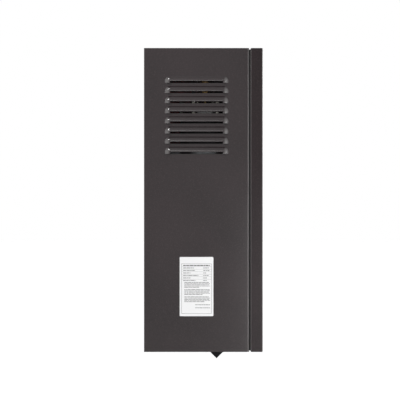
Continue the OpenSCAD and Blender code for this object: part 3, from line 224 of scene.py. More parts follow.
def paint(name, gloss, coat):
    """Dark satin powder coat: a fine pebbled skin, faint lighter flecks and a painted highlight on the bends
    between the X and Y faces.
    """
    color = (0.0172, 0.0122, 0.0132)
    bend_highlight_color = (0.14, 0.132, 0.132)
    made = Finish(name, color, 0.4, Specular_IOR_Level=gloss, Coat_Weight=coat, Coat_Roughness=0.17)
    cloud = made.span(made.noise(5, 2), 0.35, 0.65)
    fleck = made.span(made.noise(520, 2, 0.7), 0.52, 0.72)
    ground = made.blend(cloud, shade(color, 0.8), shade(color, 1.2))
    coated = made.blend(fleck, ground, shade(color, 2.2))
    # Painted highlight: bends whose normal turns from X towards Y get a paler colour, standing in for the
    # highlight a lamp puts on them
    normal = made.axes("Normal")
    sideways = made.math("POWER", made.math("ABSOLUTE", normal["X"]), 3)
    bend = made.math("MULTIPLY", sideways, made.math("ABSOLUTE", normal["Y"]))
    painted_highlight = made.span(bend, 0.1, 0.3, 0, 0.85)
    made.put("Base Color", made.blend(painted_highlight, coated, bend_highlight_color))
    made.roughen(made.noise(240, 2), 0.36, 0.44)
    made.emboss(made.noise(700, 2, 0.6), strength=0.2, depth=0.12)
    made.emboss(made.noise(2400, 1), strength=0.12, depth=0.04)
    return made


def galvanised(name):
    made = Finish(name, (0.2, 0.212, 0.216), 0.45, metallic=0.9)
    spangle = made.patches(95)
    made.tint(spangle, 0.86, 1.12)
    made.roughen(spangle, 0.32, 0.52, low=0, high=1)
    made.emboss(made.noise(900, 2), strength=0.1, depth=0.05)
    return made


def clouded_metal(name, color, stain, dark, rough, cloud, grain, strength, depth):
    """Plated or oxidised metal: a cloud of stain over a darker shade, and a fine grain."""
    smooth, coarse = rough
    made = Finish(name, color, (smooth + coarse) / 2, metallic=1.0)
    cloud = made.noise(*cloud)
    made.put("Base Color", made.blend(cloud, shade(color, dark), stain))
    made.roughen(cloud, smooth, coarse)
    made.emboss(made.noise(grain, 2), strength, depth)
    return made


def stainless(name):
    """Brushed steel, with its grain across Z."""
    made = Finish(name, (0.16, 0.16, 0.157), 0.38, metallic=1.0)
    grain = made.noise(60, 4, 0.7, made.place(scale=(3, 3, 60)))
    made.tint(grain, 0.88, 1.08)
    made.roughen(grain, 0.22, 0.4)
    made.emboss(grain, strength=0.15, depth=0.03)
    return made


def label_white(name):
    made = Finish(name, (0.79, 0.79, 0.795), 0.42)
    made.tint(made.noise(60, 2), 0.97, 1.02)
    made.roughen(made.noise(400, 2), 0.38, 0.46)
    made.emboss(made.noise(1800, 2), strength=0.06, depth=0.02)
    return made


def black_rubber(name):
    color = (0.01, 0.01, 0.01)
    dusty = (0.03, 0.029, 0.028)
    made = Finish(name, color, 0.65, Specular_IOR_Level=0.18)
    dust = made.noise(220, 4)
    made.put("Base Color", made.blend(made.span(dust, 0.5, 0.8), color, dusty))
    made.roughen(dust, 0.58, 0.74)
    made.emboss(made.noise(1600, 3), strength=0.2, depth=0.05)
    return made


def grained(name, color, rough, grain, strength, gloss=0.5):
    """Moulded plastic with a fine leather-like grain."""
    made = Finish(name, color, rough, Specular_IOR_Level=gloss)
    pebble = made.cells(grain)
    made.tint(made.noise(40, 2), 0.92, 1.08)
    made.roughen(pebble, rough - 0.04, rough + 0.06, low=0, high=0.8)
    made.emboss(pebble, strength, depth=0.04)
    return made


def window_tint(name):
    """Smoked clear plastic, dark in front of the display."""
    made = Finish(name, (0.3, 0.31, 0.33), 0.04, Transmission_Weight=1.0, IOR=1.49)
    smear = made.noise(30, 3, 0.6)
    made.tint(smear, 0.92, 1.08)
    made.roughen(smear, 0.02, 0.06, low=0.4)
    return made


def display(name):
    made = Finish(name, (0.008, 0.009, 0.01), 0.2)
    rows = made.waves(330, "Z")
    made.tint(rows, 0.8, 1.2)
    made.roughen(rows, 0.16, 0.24, low=0, high=1)
    return made


def board_green(name):
    """Green lacquer over copper tracks, which run square to each other."""
    color = (0.006, 0.05, 0.018)
    track_color = (0.014, 0.085, 0.028)
    made = Finish(name, color, 0.36, Specular_IOR_Level=0.3)
    is_upright = made.math("GREATER_THAN", made.patches(55), 0.5)
    is_level = made.math("SUBTRACT", 1, is_upright)
    upright, level = [made.span(made.waves(260, direction), 0.62, 0.7) for direction in ("X", "Z")]
    one = made.math("MULTIPLY", upright, is_upright)
    other = made.math("MULTIPLY", level, is_level)
    track = made.math("ADD", one, other)
    made.put("Base Color", made.blend(track, color, track_color))
    made.roughen(track, 0.4, 0.32, low=0, high=1)
    made.emboss(track, strength=0.3, depth=0.04)
    return made


def foam(name):
    """Black moulded foam, with the outlines of its beads."""
    made = Finish(name, (0.016, 0.016, 0.017), 0.85, Specular_IOR_Level=0.25)
    beads = made.cells(230)
    made.tint(made.span(beads, 0.2, 0.8), 1.5, 0.6)
    made.roughen(beads, 0.78, 0.92, low=0, high=0.8)
    made.emboss(beads, strength=0.5, depth=0.8)
    return made


def warm_metal(name, color, stain):
    """Brass or copper, with faint stains and fine turning marks."""
    made = Finish(name, color, 0.26, metallic=1.0)
    cloud = made.noise(70, 5, 0.6)
    made.put("Base Color", made.blend(made.span(cloud, 0.4, 0.75), color, stain))
    made.roughen(cloud, 0.18, 0.38)
    made.emboss(made.noise(900, 2), strength=0.02, depth=0.01)
    return made


def pump_iron(name):
    made = Finish(name, (0.02, 0.022, 0.024), 0.5)
    cast = made.noise(420, 4, 0.65)
    made.tint(cast, 0.8, 1.3)
    made.roughen(cast, 0.42, 0.6)
    made.emboss(cast, strength=0.5, depth=0.3)
    return made


def motor_paint(name):
    made = Finish(name, (0.014, 0.018, 0.023), 0.34)
    made.roughen(made.noise(200, 3), 0.28, 0.42)
    made.emboss(made.noise(800, 2), strength=0.2, depth=0.1)
    return made


def gauge_glass(name):
    made = Finish(name, (0.85, 0.92, 0.95), 0.03, Transmission_Weight=1.0, IOR=1.45)
    made.roughen(made.noise(60, 2), 0.02, 0.06, low=0.4)
    return made


def vessel_red(name):
    made = Finish(name, (0.3, 0.012, 0.008), 0.3, Coat_Weight=0.25)
    made.tint(made.noise(8, 2), 0.9, 1.08)
    made.roughen(made.noise(150, 3), 0.26, 0.38)
    made.emboss(made.noise(350, 2), strength=0.15, depth=0.12)
    return made


def hose_braid(name):
    """Steel braid, whose wires cross on the slant."""
    slant = 0.8
    made = Finish(name, (0.2, 0.2, 0.2), 0.4, metallic=0.8)
    turns = ((slant, slant, slant), (-slant, slant, -slant))
    one, other = [made.waves(160, "DIAGONAL", made.place(turn=turn)) for turn in turns]
    weave = made.math("MAXIMUM", one, other)
    made.tint(weave, 0.35, 1.3)
    made.roughen(weave, 0.5, 0.3, low=0, high=1)
    made.emboss(weave, strength=0.6, depth=0.4)
    return made


def lead_insulation(name):
    """Brown leads; the last one below the power board, to the neutral pole, is blue."""
    brown = (0.055, 0.024, 0.012)
    blue = (0.012, 0.04, 0.15)
    pole_w = 20 * MM
    made = Finish(name, brown, 0.38)
    place = made.axes("Object")
    last = made.math("GREATER_THAN", place["X"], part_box("terminal_block")[1].x - pole_w)
    below = made.math("LESS_THAN", place["Z"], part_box("power_board")[0].z)
    made.put("Base Color", made.blend(made.math("MULTIPLY", last, below), brown, blue))
    made.roughen(made.noise(300, 2), 0.32, 0.44)
    made.emboss(made.noise(900, 2), strength=0.1, depth=0.04)
    return made


def ink(name, color):
    """Printed ink with a slightly uneven tone."""
    made = Finish(name, color, 0.5)
    cloud = made.noise(900, 3)
    made.tint(cloud, 0.8, 1.15)
    made.roughen(cloud, 0.44, 0.56)
    return made


SLOTS = {
    "casing_paint": partial(paint, gloss=0.08, coat=0.6),
    "galvanised": galvanised,
    "zinc": partial(
        clouded_metal, color=(0.22, 0.22, 0.208), stain=(0.245, 0.233, 0.19), dark=0.85,
        rough=(0.24, 0.4), cloud=(160, 3), grain=1500, strength=0.1, depth=0.03,
    ),
    "stainless": stainless,
    "element_steel": partial(
        clouded_metal, color=(0.16, 0.15, 0.145), stain=(0.22, 0.19, 0.17), dark=0.8,
        rough=(0.34, 0.5), cloud=(120, 4), grain=1400, strength=0.15, depth=0.04,
    ),
    "label_white": label_white,
    "black_rubber": black_rubber,
    "black_plastic": partial(
        grained, color=(0.005, 0.005, 0.0055), rough=0.5, grain=1500, strength=0.22, gloss=0.08
    ),
    "grey_plastic": partial(grained, color=(0.17, 0.17, 0.172), rough=0.4, grain=2200, strength=0.14),
    "window_tint": window_tint,
    "display": display,
    "board_green": board_green,
    "relay_black": partial(grained, color=(0.012, 0.013, 0.018), rough=0.3, grain=2600, strength=0.08),
    "seal_red": partial(grained, color=(0.3, 0.025, 0.012), rough=0.5, grain=900, strength=0.1),
    "foam": foam,
    "brass": partial(warm_metal, color=(0.3, 0.195, 0.07), stain=(0.19, 0.12, 0.046)),
    "copper": partial(warm_metal, color=(0.5, 0.21, 0.11), stain=(0.32, 0.125, 0.07)),
    "pump_iron": pump_iron,
    "motor_paint": motor_paint,
    "light_plastic": partial(grained, color=(0.56, 0.5, 0.34), rough=0.45, grain=1800, strength=0.1),
    "knob_orange": partial(grained, color=(0.6, 0.05, 0.008), rough=0.34, grain=2200, strength=0.12),
    "knob_red": partial(grained, color=(0.32, 0.008, 0.006), rough=0.34, grain=2200, strength=0.12),
    "gauge_glass": gauge_glass,
    "vessel_red": vessel_red,
    "hose_braid": hose_braid,
    "terminal_white": partial(grained, color=(0.62, 0.62, 0.6), rough=0.4, grain=1600, strength=0.1),
    "lead_insulation": lead_insulation,
}
MATERIALS = {slot: make(slot).material for slot, make in SLOTS.items()}
COVER_PAINT = paint("cover_paint", gloss=0.12, coat=0.08).material
DARK_INK = ink("dark_ink", (0.012, 0.012, 0.013)).material
GREY_INK = ink("grey_ink", (0.085, 0.085, 0.088)).material
WHITE_INK = ink("white_ink", (0.75, 0.75, 0.75)).material


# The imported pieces: finish, and round edges of a few tenths of a millimetre

EDGE = {
    "rating_label": 0.08,
    "gauge_glass": 0.1,
    "gauge_needle": 0.1,
    "cover_gasket": 0.2,
    "tank_insulation": 0.8,
    "heating_elements": 0.1,
    "wiring": 0.1,
    "gauge_capillary": 0.1,
    "power_rocker": 0.5,
    "switch_housing": 0.35,
    "speed_knob": 0.8,
    "relief_knob": 0.8,
    "key_minus": 0.4,
    "key_mode": 0.4,
    "key_plus": 0.4,
    "cable_grommets": 0.5,
    "pump_housing": 1.2,
    "pump_motor": 0.8,
    "pump_box": 1.5,
    "relays": 0.5,
}
PLAIN_EDGE = 0.3
WELD_REACH = 0.002
BEND_ANGLE = math.radians(32)


def weigh_normals(piece):
    """Smooth shading in which large flat faces stay flat."""
    for polygon in piece.data.polygons:
        polygon.use_smooth = True
    weighted = piece.modifiers.new("weighted_normals", "WEIGHTED_NORMAL")
    weighted.mode = "FACE_AREA"
    weighted.weight = 50
    weighted.keep_sharp = True


def soften(piece, width, miter="MITER_SHARP"):
    """Rounds the edges that are sharper than a bend, by a width in millimetres."""
    bevel = piece.modifiers.new("edges", "BEVEL")
    bevel.width = width * MM
    bevel.segments = 2
    bevel.limit_method = "ANGLE"
    bevel.angle_limit = BEND_ANGLE
    bevel.miter_outer = miter
    weigh_normals(piece)


def dress_node(name):
    node = NODES[name]
    node.data.materials.clear()
    node.data.materials.append(COVER_PAINT if name == "front_cover" else MATERIALS[SLOT_OF[name]])
    weld = node.modifiers.new("weld", "WELD")
    weld.merge_threshold = WELD_REACH * MM
    soften(node, EDGE.get(name, PLAIN_EDGE), "MITER_ARC")


# Mesh helpers, in millimetres

INK_T = 0.03


def new_mesh(name, draw, material):
    """An object whose mesh a function draws into an empty bmesh."""
    mesh = bpy.data.meshes.new(name)
    bm = bmesh.new()
    draw(bm)
    bmesh.ops.recalc_face_normals(bm, faces=bm.faces)
    bm.to_mesh(mesh)
    bm.free()
    mesh.materials.append(material)
    return new_object(name, mesh)


def new_piece(name, draw, material, body="casing"):
    piece = new_mesh(name, draw, material)
    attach(piece, body)
    return piece


def new_solid(name, draw, slot, edge=None):
    """A smooth piece on the casing, with round edges where a width is given."""
    piece = new_piece(name, draw, MATERIALS[slot])
    if edge:
        soften(piece, edge)
    else:
        weigh_normals(piece)


def local_frame(origin, z_axis, x_axis=RIGHT):
    """A frame in millimetres, with its Z and X along the given directions."""
    z = Vector(z_axis)
    x = Vector(x_axis)
    turn = Matrix((x, z.cross(x), z)).transposed().to_4x4()
    return Matrix.Translation(origin) @ turn @ Matrix.Scale(MM, 4)


def box_frame(node, shares, z_axis, x_axis=RIGHT):
    """A frame at a point of a node's box, given as shares of the box's sides."""
    low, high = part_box(node)
    point = [start + share * (end - start) for start, end, share in zip(low, high, shares)]
    return local_frame(point, z_axis, x_axis)


def front_face(node):
    """A frame in the middle of a node's front, read from the front."""
    return box_frame(node, (0.5, 0, 0.5), FRONT)


def size_of(node):
    low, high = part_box(node)
    return (high - low) / MM


def at(matrix, x, y, z=0):
    return matrix @ Matrix.Translation((x, y, z))


def turned(matrix, angle, axis="Z"):
    return matrix @ Matrix.Rotation(angle, 4, axis)


def polar(radius, angle):
    return radius * math.cos(angle), radius * math.sin(angle)


def circle(radius, count, middle=(0, 0)):
    points = [polar(radius, 2 * math.pi * i / count) for i in range(count)]
    return [(middle[0] + x, middle[1] + y) for x, y in points]


def add_box(bm, low, high, matrix):
    middle = (Vector(low) + Vector(high)) / 2
    size = Vector(high) - Vector(low)
    placed = matrix @ Matrix.Translation(middle) @ Matrix.Diagonal((*size, 1))
    bmesh.ops.create_cube(bm, size=1, matrix=placed)


def print_bar(bm, left, right, middle, tall, matrix):
    add_box(bm, (left, middle - tall / 2, -INK_T), (right, middle + tall / 2, INK_T), matrix)


def add_verts(bm, outline, z, matrix):
    return [bm.verts.new(matrix @ Vector((x, y, z))) for x, y in outline]


def join_rings(bm, rings, closed=False):
    """Faces between rings of points; a ring of one point is a tip."""
    pairs = list(zip(rings, rings[1:]))
    if closed:
        pairs.append((rings[-1], rings[0]))
    for one, other in pairs:
        count = max(len(one), len(other))
        for i in range(count):
            j = (i + 1) % count
            corners = (one[i % len(one)], one[j % len(one)], other[j % len(other)], other[i % len(other)])
            bm.faces.new(list(dict.fromkeys(corners)))
    if not closed:
        for ring in (rings[0], rings[-1]):
            if len(ring) > 2:
                bm.faces.new(ring)


def add_prism(bm, outline, low, high, matrix):
    """A prism from an outline in the frame's X and Y."""
    join_rings(bm, [add_verts(bm, outline, z, matrix) for z in (low, high)])


def add_lathe(bm, profile, matrix, count=32, closed=False):
    """Turns a profile of radius and height round the frame's Z axis."""
    rings = []
    for radius, height in profile:
        outline = circle(radius, count) if radius else [(0, 0)]
        rings.append(add_verts(bm, outline, height, matrix))
    join_rings(bm, rings, closed)


def add_disc(bm, radius, low, high, matrix, count=32):
    add_lathe(bm, [(0, low), (radius, low), (radius, high), (0, high)], matrix, count)


def add_ring(bm, inner, outer, low, high, matrix, count=32):
    profile = [(inner, low), (outer, low), (outer, high), (inner, high)]
    add_lathe(bm, profile, matrix, count, closed=True)


def add_tube(bm, points, radius, matrix, sides=8):
    """A closed tube along points."""
    points = [Vector(point) for point in points]
    side = (points[1] - points[0]).orthogonal()
    rings = []
    for i, point in enumerate(points):
        way = (points[min(i + 1, len(points) - 1)] - points[max(i - 1, 0)]).normalized()
        side = (side - side.project(way)).normalized()
        other = way.cross(side)
        section = [point + x * side + y * other for x, y in circle(radius, sides)]
        rings.append([bm.verts.new(matrix @ corner) for corner in section])
    join_rings(bm, rings)


def add_number(bm, number, height, matrix):
    """A plain printed number, centred in the frame."""
    curve = bpy.data.curves.new("number", "FONT")
    curve.body = str(number)
    curve.size = height
    curve.extrude = INK_T
    curve.align_x = "CENTER"
    curve.align_y = "CENTER"
    holder = bpy.data.objects.new("number", curve)
    mesh = bpy.data.meshes.new_from_object(holder)
    mesh.transform(matrix)
    bm.from_mesh(mesh)
    bpy.data.objects.remove(holder)


# Print on the rating label: a frame, a table and lines of grey bars for words

LABEL_SEED = 11
LABEL_MARGIN = 3.9
TEXT_LEFT = LABEL_MARGIN + 3.5
LABEL_BARE_TOP = 14.4
LABEL_BARE_FOOT = 5.8
FRAME_LINE = 0.55
TABLE_LINE = 0.35
TITLE_DROP = 3.6
TITLE_H = 2.0
TABLE_ROWS = 6
TABLE_PITCH = 5.3
TABLE_H = 1.3
KEY_LENGTHS = (14, 34)
VALUE_RIGHT = 14
VALUE_SLACK = 7
VALUE_WORD = 4.5
PARAGRAPH_ROWS = 9
PARAGRAPH_PITCH = 5.1
PARAGRAPH_LEFT = TEXT_LEFT + 2.5
PARAGRAPH_H = 1.2
BETWEEN_H = 0.9
RAGGED = (0, 3)
LAST_LINE = (8, 26)
FOOT_ROWS = 2
FOOT_PITCH = 6.4
FOOT_LEFT = 33
FOOT_WORD = 6
WORD_SHORT = 2.4
WORD_LONG = 9.0
WORD_GAP = 1.0
LEAST_ROOM = 1.5


def label_sheet():
    """The label's frame, from its lower left corner as it is read, its width and the table's top."""
    size = size_of("rating_label")
    return box_frame("rating_label", (0, 1, 0), LEFT, FRONT), size.y, size.z - LABEL_BARE_TOP


def print_words(bm, left, right, middle, tall, sheet, draw, longest=WORD_LONG):
    """Bars of uneven length with narrow gaps, such as a line of words leaves from afar."""
    start = left
    while start < right - LEAST_ROOM:
        stop = min(right, start + draw.uniform(WORD_SHORT, longest))
        print_bar(bm, start, stop, middle, tall, sheet)
        start = stop + WORD_GAP


def draw_label_title(bm):
    sheet, width, top = label_sheet()
    draw = random.Random(LABEL_SEED)
    print_words(bm, TEXT_LEFT, width - TEXT_LEFT, top - TITLE_DROP, TITLE_H, sheet, draw)


def draw_label_table(bm):
    sheet, width, top = label_sheet()
    left = LABEL_MARGIN
    right = width - LABEL_MARGIN
    for middle in (top, LABEL_BARE_FOOT):
        print_bar(bm, left, right, middle, FRAME_LINE, sheet)
    tall = top - LABEL_BARE_FOOT - FRAME_LINE
    for start in (left, right - FRAME_LINE):
        print_bar(bm, start, start + FRAME_LINE, (top + LABEL_BARE_FOOT) / 2, tall, sheet)
    for row in range(TABLE_ROWS):
        middle = top - TITLE_DROP - TABLE_PITCH * (row + 0.5)
        print_bar(bm, left + FRAME_LINE, right - FRAME_LINE, middle, TABLE_LINE, sheet)


def draw_label_words(bm):
    sheet, width, top = label_sheet()
    draw = random.Random(LABEL_SEED + 1)
    title = top - TITLE_DROP
    right = width - TEXT_LEFT
    for row in range(TABLE_ROWS):
        middle = title - TABLE_PITCH * (row + 1)
        key_end = TEXT_LEFT + draw.uniform(*KEY_LENGTHS)
        print_words(bm, TEXT_LEFT, key_end, middle, TABLE_H, sheet, draw)
        value_end = right - draw.uniform(0, VALUE_SLACK)
        print_words(bm, right - VALUE_RIGHT, value_end, middle, TABLE_H, sheet, draw, VALUE_WORD)
    first = title - TABLE_PITCH * (TABLE_ROWS + 0.8)
    for row in range(PARAGRAPH_ROWS):
        middle = first - PARAGRAPH_PITCH * row
        ends_paragraph = row % 3 == 2
        end = right - draw.uniform(*(LAST_LINE if ends_paragraph else RAGGED))
        print_words(bm, PARAGRAPH_LEFT, end, middle, PARAGRAPH_H, sheet, draw)
        if not ends_paragraph:
            between = middle - PARAGRAPH_PITCH / 2
            print_words(bm, PARAGRAPH_LEFT, right, between, BETWEEN_H, sheet, draw)
    last = first - PARAGRAPH_PITCH * (PARAGRAPH_ROWS + 0.3)
    for row in range(FOOT_ROWS):
        print_words(bm, FOOT_LEFT, right, last - FOOT_PITCH * row, TABLE_H, sheet, draw, FOOT_WORD)


def print_label():
    new_piece("label_title", draw_label_title, DARK_INK)
    new_piece("label_table", draw_label_table, GREY_INK)
    new_piece("label_words", draw_label_words, GREY_INK)


# Display and keys on the front

DIGITS = 3
DIGIT_W = 9.0
DIGIT_H = 17.0
DIGIT_PITCH = 16.0
SEGMENT = 1.9
SEGMENT_GAP = 0.5
SEGMENT_T = 0.15
POINT_R = 1.0
POINT_OUT = 3.4
LAMP_R = 1.1
LAMP_X = 32
LAMP_Y = 7
ROUND_SIDES = 16
MARK_L = 5.0
MARK_W = 0.8


def add_segment(bm, middle, length, upright, face):
    """One bar of a seven-segment digit, with pointed ends."""
    half = SEGMENT / 2
    tip = length / 2
    flat = tip - half
    outline = [(-tip, 0), (-flat, -half), (flat, -half), (tip, 0), (flat, half), (-flat, half)]
    if upright:
        outline = [(-y, x) for x, y in outline]
    add_prism(bm, outline, -INK_T, SEGMENT_T, at(face, *middle))


def draw_digits(bm):
    face = front_face("display_module")
    arm = DIGIT_H / 2
    for i in range(DIGITS):
        x = (i - (DIGITS - 1) / 2) * DIGIT_PITCH
        for y in (-arm, 0, arm):
            add_segment(bm, (x, y), DIGIT_W - SEGMENT_GAP, False, face)
        for side in (-DIGIT_W / 2, DIGIT_W / 2):
            for y in (-arm / 2, arm / 2):
                add_segment(bm, (x + side, y), arm - SEGMENT_GAP, True, face)
        point = circle(POINT_R, ROUND_SIDES, (x + DIGIT_W / 2 + POINT_OUT, -arm))
        add_prism(bm, point, -INK_T, SEGMENT_T, face)


def draw_lamps(bm):
    face = front_face("display_module")
    for x in (-LAMP_X, LAMP_X):
        for y in (-LAMP_Y, 0, LAMP_Y):
            add_prism(bm, circle(LAMP_R, ROUND_SIDES, (x, y)), -INK_T, SEGMENT_T, face)


def draw_minus(bm):
    print_bar(bm, -MARK_L / 2, MARK_L / 2, 0, MARK_W, front_face("key_minus"))


def draw_plus(bm):
    near = MARK_W / 2
    far = MARK_L / 2
    arm = [(near, near), (near, far), (-near, far)]
    outline = []
    for _ in range(4):
        outline += arm
        arm = [(-y, x) for x, y in arm]
    add_prism(bm, outline, -INK_T, INK_T, front_face("key_plus"))


def draw_mode(bm):
    add_ring(bm, MARK_L / 2 - MARK_W, MARK_L / 2, -INK_T, INK_T, front_face("key_mode"))


def print_front():
    new_piece("display_digits", draw_digits, GREY_INK)
    new_piece("display_lamps", draw_lamps, GREY_INK)
    new_piece("minus_mark", draw_minus, WHITE_INK, "minus_key")
    new_piece("mode_mark", draw_mode, WHITE_INK, "mode_key")
    new_piece("plus_mark", draw_plus, WHITE_INK, "plus_key")


# Rocker marks and the pressure gauge's dial, both read from below

SWITCH_TURN = math.radians(135)
ROCKER_SLOPE = math.radians(10)
ROCKER_RISE = 3.8
ROCKER_MARK_Y = 6.0
ON_W = 0.9
ON_L = 4.0
OFF_INNER = 1.4
OFF_OUTER = 2.1
GAUGE_SWEEP = math.radians(270)
GAUGE_MOST = 4
GAUGE_LIMIT = 3
GAUGE_STEPS = 5
DIAL_T = 0.3
DIAL_Z = 14.0
DIAL_R = 16.7
DIAL_BORE = 0.9
DIAL_SIDES = 64
STROKE_END = 15.4
# Start and width of a stroke
LONG_STROKE = (12.6, 0.56)
SHORT_STROKE = (13.8, 0.28)
LIMIT_LOW = (12.4, 0.5, -INK_T)
LIMIT_HIGH = (15.6, 1.3, INK_T)
DIAL_NUMBER_R = 10
DIAL_NUMBER_H = 4.2


def rocker_half(side):
    """A frame on one half of the rocker's bent face, from the rocker's hinge at rest."""
    hinge = Matrix.Translation(JOINTS["rocker_tilt"]["pos_m"]) @ Matrix.Scale(MM, 4)
    rocker = turned(hinge, SWITCH_TURN + ROCKER_SLOPE, "X")
    rise = ROCKER_RISE + ROCKER_MARK_Y * math.tan(ROCKER_SLOPE)
    return turned(at(rocker, 0, side * ROCKER_MARK_Y, rise), side * ROCKER_SLOPE, "X")


def draw_rocker_marks(bm):
    print_bar(bm, -ON_W / 2, ON_W / 2, 0, ON_L, rocker_half(1))
    add_ring(bm, OFF_INNER, OFF_OUTER, -INK_T, INK_T, rocker_half(-1))


def gauge_frame():
    """A frame on the dial, facing down, with the needle's rest along its -X."""
    x, y, _ = JOINTS["needle_turn"]["pos_m"]
    return local_frame((x, y, (DIAL_Z - DIAL_T) * MM), DOWN)


def dial_turn(pressure):
    return math.pi - GAUGE_SWEEP * pressure / GAUGE_MOST


def draw_dial(bm):
    add_ring(bm, DIAL_BORE, DIAL_R, -DIAL_T, 0, gauge_frame(), DIAL_SIDES)


def draw_dial_marks(bm):
    dial = gauge_frame()
    for i in range(GAUGE_MOST * GAUGE_STEPS + 1):
        start, wide = SHORT_STROKE if i % GAUGE_STEPS else LONG_STROKE
        print_bar(bm, start, STROKE_END, 0, wide, turned(dial, dial_turn(i / GAUGE_STEPS)))
    for pressure in range(GAUGE_MOST + 1):
        place = polar(DIAL_NUMBER_R, dial_turn(pressure))
        add_number(bm, pressure, DIAL_NUMBER_H, at(dial, *place))


def draw_dial_limit(bm):
    """A red stroke where the safety valve opens."""
    add_box(bm, LIMIT_LOW, LIMIT_HIGH, turned(gauge_frame(), dial_turn(GAUGE_LIMIT)))


def print_underside():
    new_piece("rocker_marks", draw_rocker_marks, WHITE_INK, "rocker")
    new_piece("gauge_dial", draw_dial, MATERIALS["label_white"])
    new_piece("dial_marks", draw_dial_marks, DARK_INK)
    new_piece("dial_limit", draw_dial_limit, MATERIALS["knob_red"])


# Threads of the pipe sockets, in the bores that the record's mounts give

THREAD_PITCH = 1.814
THREAD_FLANK = 0.42
THREAD_SINK = 0.05
THREAD_H = 1.0
THREAD_START = 0.4
THREAD_STEPS = 32


def add_thread(bm, base, crest, low, high, matrix):
    """The helical ridge of a pipe thread, from its base radius to its crest."""
    count = int((high - low - THREAD_PITCH) / THREAD_PITCH * THREAD_STEPS)
    half = THREAD_FLANK * THREAD_PITCH
    rings = []
    for i in range(count + 1):
        angle = 2 * math.pi * i / THREAD_STEPS
        z = low + half + THREAD_PITCH * i / THREAD_STEPS
        section = ((base, z - half), (crest, z), (base, z + half))
        rings.append([bm.verts.new(matrix @ Vector((*polar(r, angle), h))) for r, h in section])
    join_rings(bm, rings)


def draw_threads(bm):
    for mount in RECORD["mounts"]:
        if mount["kind"] == "threaded_hole":
            x, y, z = mount["pos_m"]
            bore = mount["dims"]["r_mm"]
            length = mount["dims"]["length_mm"]
            socket = local_frame((x, y, z - length / 2 * MM), UP)
            add_thread(bm, bore + THREAD_SINK, bore - THREAD_H, THREAD_START, length, socket)


# Screws, and what stands on the two boards

# Radius and height of each screw's head
BOARD_SCREW = (2.8, 2.0)
BOX_SCREW = (3.2, 2.2)
POLE_SCREW = (3.4, 2.4)
PLUG_SCREW = (2.0, 0.5)
SCREW_STEPS = 10
SCREW_SINK = 0.05
SCREW_SHOULDER = 0.55
SCREW_SLOT = 0.16
BOX_SCREW_OUT = 29
POLES = 5
POLE_SINK = 6
CORNER_IN = 4.5
LOW_CORNER_RISE = 12
CONTROL_T = 1.6
BODY_GAP = 0.25


def add_screw(bm, size, matrix):
    """A slotted screw head that stands on the frame's origin."""
    radius, height = size
    shoulder = SCREW_SHOULDER * height
    add_disc(bm, radius, -SCREW_SINK, shoulder, matrix, 2 * SCREW_STEPS)
    start = math.asin(SCREW_SLOT)
    step = (math.pi - 2 * start) / SCREW_STEPS
    outline = [polar(radius, start + step * i) for i in range(SCREW_STEPS + 1)]
    for turn in (0, math.pi):
        add_prism(bm, outline, shoulder, height, turned(matrix, turn))


def board_face(node="power_board"):
    """A frame at a board's lower left corner, on the face that carries its parts."""
    low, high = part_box(node)
    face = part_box("relays")[1].y if node == "power_board" else high.y - CONTROL_T * MM
    return local_frame((low.x, face, low.z), FRONT)


def draw_board_screws(bm):
    for node in ("power_board", "control_board"):
        size = size_of(node)
        for x in (CORNER_IN, size.x - CORNER_IN):
            for y in (CORNER_IN + LOW_CORNER_RISE, size.z - CORNER_IN):
                add_screw(bm, BOARD_SCREW, at(board_face(node), x, y))
    for x in (-BOX_SCREW_OUT, BOX_SCREW_OUT):
        for y in (-BOX_SCREW_OUT, BOX_SCREW_OUT):
            add_screw(bm, BOX_SCREW, at(front_face("pump_box"), x, y))


def draw_pole_screws(bm):
    row = box_frame("terminal_block", (0, 0, 0.5), FRONT)
    pitch = size_of("terminal_block").x / POLES
    for i in range(POLES):
        add_screw(bm, POLE_SCREW, at(row, (i + 0.5) * pitch, 0, -POLE_SINK))


CAPACITOR_PLACES = [(30 + 22 * i, 45) for i in range(3)]
CAPACITOR_R = 8.0
CAPACITOR_H = 20.0
CAN_R = CAPACITOR_R - 1.3
SLEEVE_FIT = 0.02
SLEEVE_LOW = 0.2
SLEEVE_TOP = CAPACITOR_H + 0.35
LIP_LOW = CAPACITOR_H + 0.05
CAN_SPAN = (0.01, 0.05)
PETAL_SPAN = (0.02, 0.2)
PETAL_IN = 0.35
PETAL_START = 4
PETAL_STEPS = 8


def draw_sleeves(bm):
    """Plastic sleeves round the capacitors, with a lip over the can's rim."""
    inner = CAPACITOR_R + SLEEVE_FIT
    for place in CAPACITOR_PLACES:
        sleeve = at(board_face(), *place)
        add_ring(bm, inner, CAPACITOR_R + BODY_GAP, SLEEVE_LOW, SLEEVE_TOP, sleeve)
        add_ring(bm, CAN_R, inner, LIP_LOW, SLEEVE_TOP, sleeve)


def draw_can_tops(bm):
    """Bare can tops, scored with a cross that parts four petals."""
    sweep = 90 - 2 * PETAL_START
    arc = [math.radians(PETAL_START + sweep * i / PETAL_STEPS) for i in range(PETAL_STEPS + 1)]
    petal = [(PETAL_IN, PETAL_IN)] + [polar(CAN_R, angle) for angle in arc]
    for place in CAPACITOR_PLACES:
        top = at(board_face(), *place, CAPACITOR_H)
        for quarter in range(4):
            add_prism(bm, petal, *PETAL_SPAN, turned(top, quarter * math.pi / 2))
        add_disc(bm, CAN_R, *CAN_SPAN, top)


COIL_LEFT = 105
COIL_RIGHT = 145
COIL_LOW = 28
COIL_HIGH = 62
COIL_H = 20.0
CORE_START = 0.1
CORE_FOOT = 4
CORE_LEG = 8
WINDING_OUT = 0.8
WINDING_TOP = COIL_H + 1.2
BAND_W = 1.2
BAND_IN = 9.5
BAND_OUT = 1.4
BAND_LOW = 4.5
BAND_TOP = COIL_H + 1.9


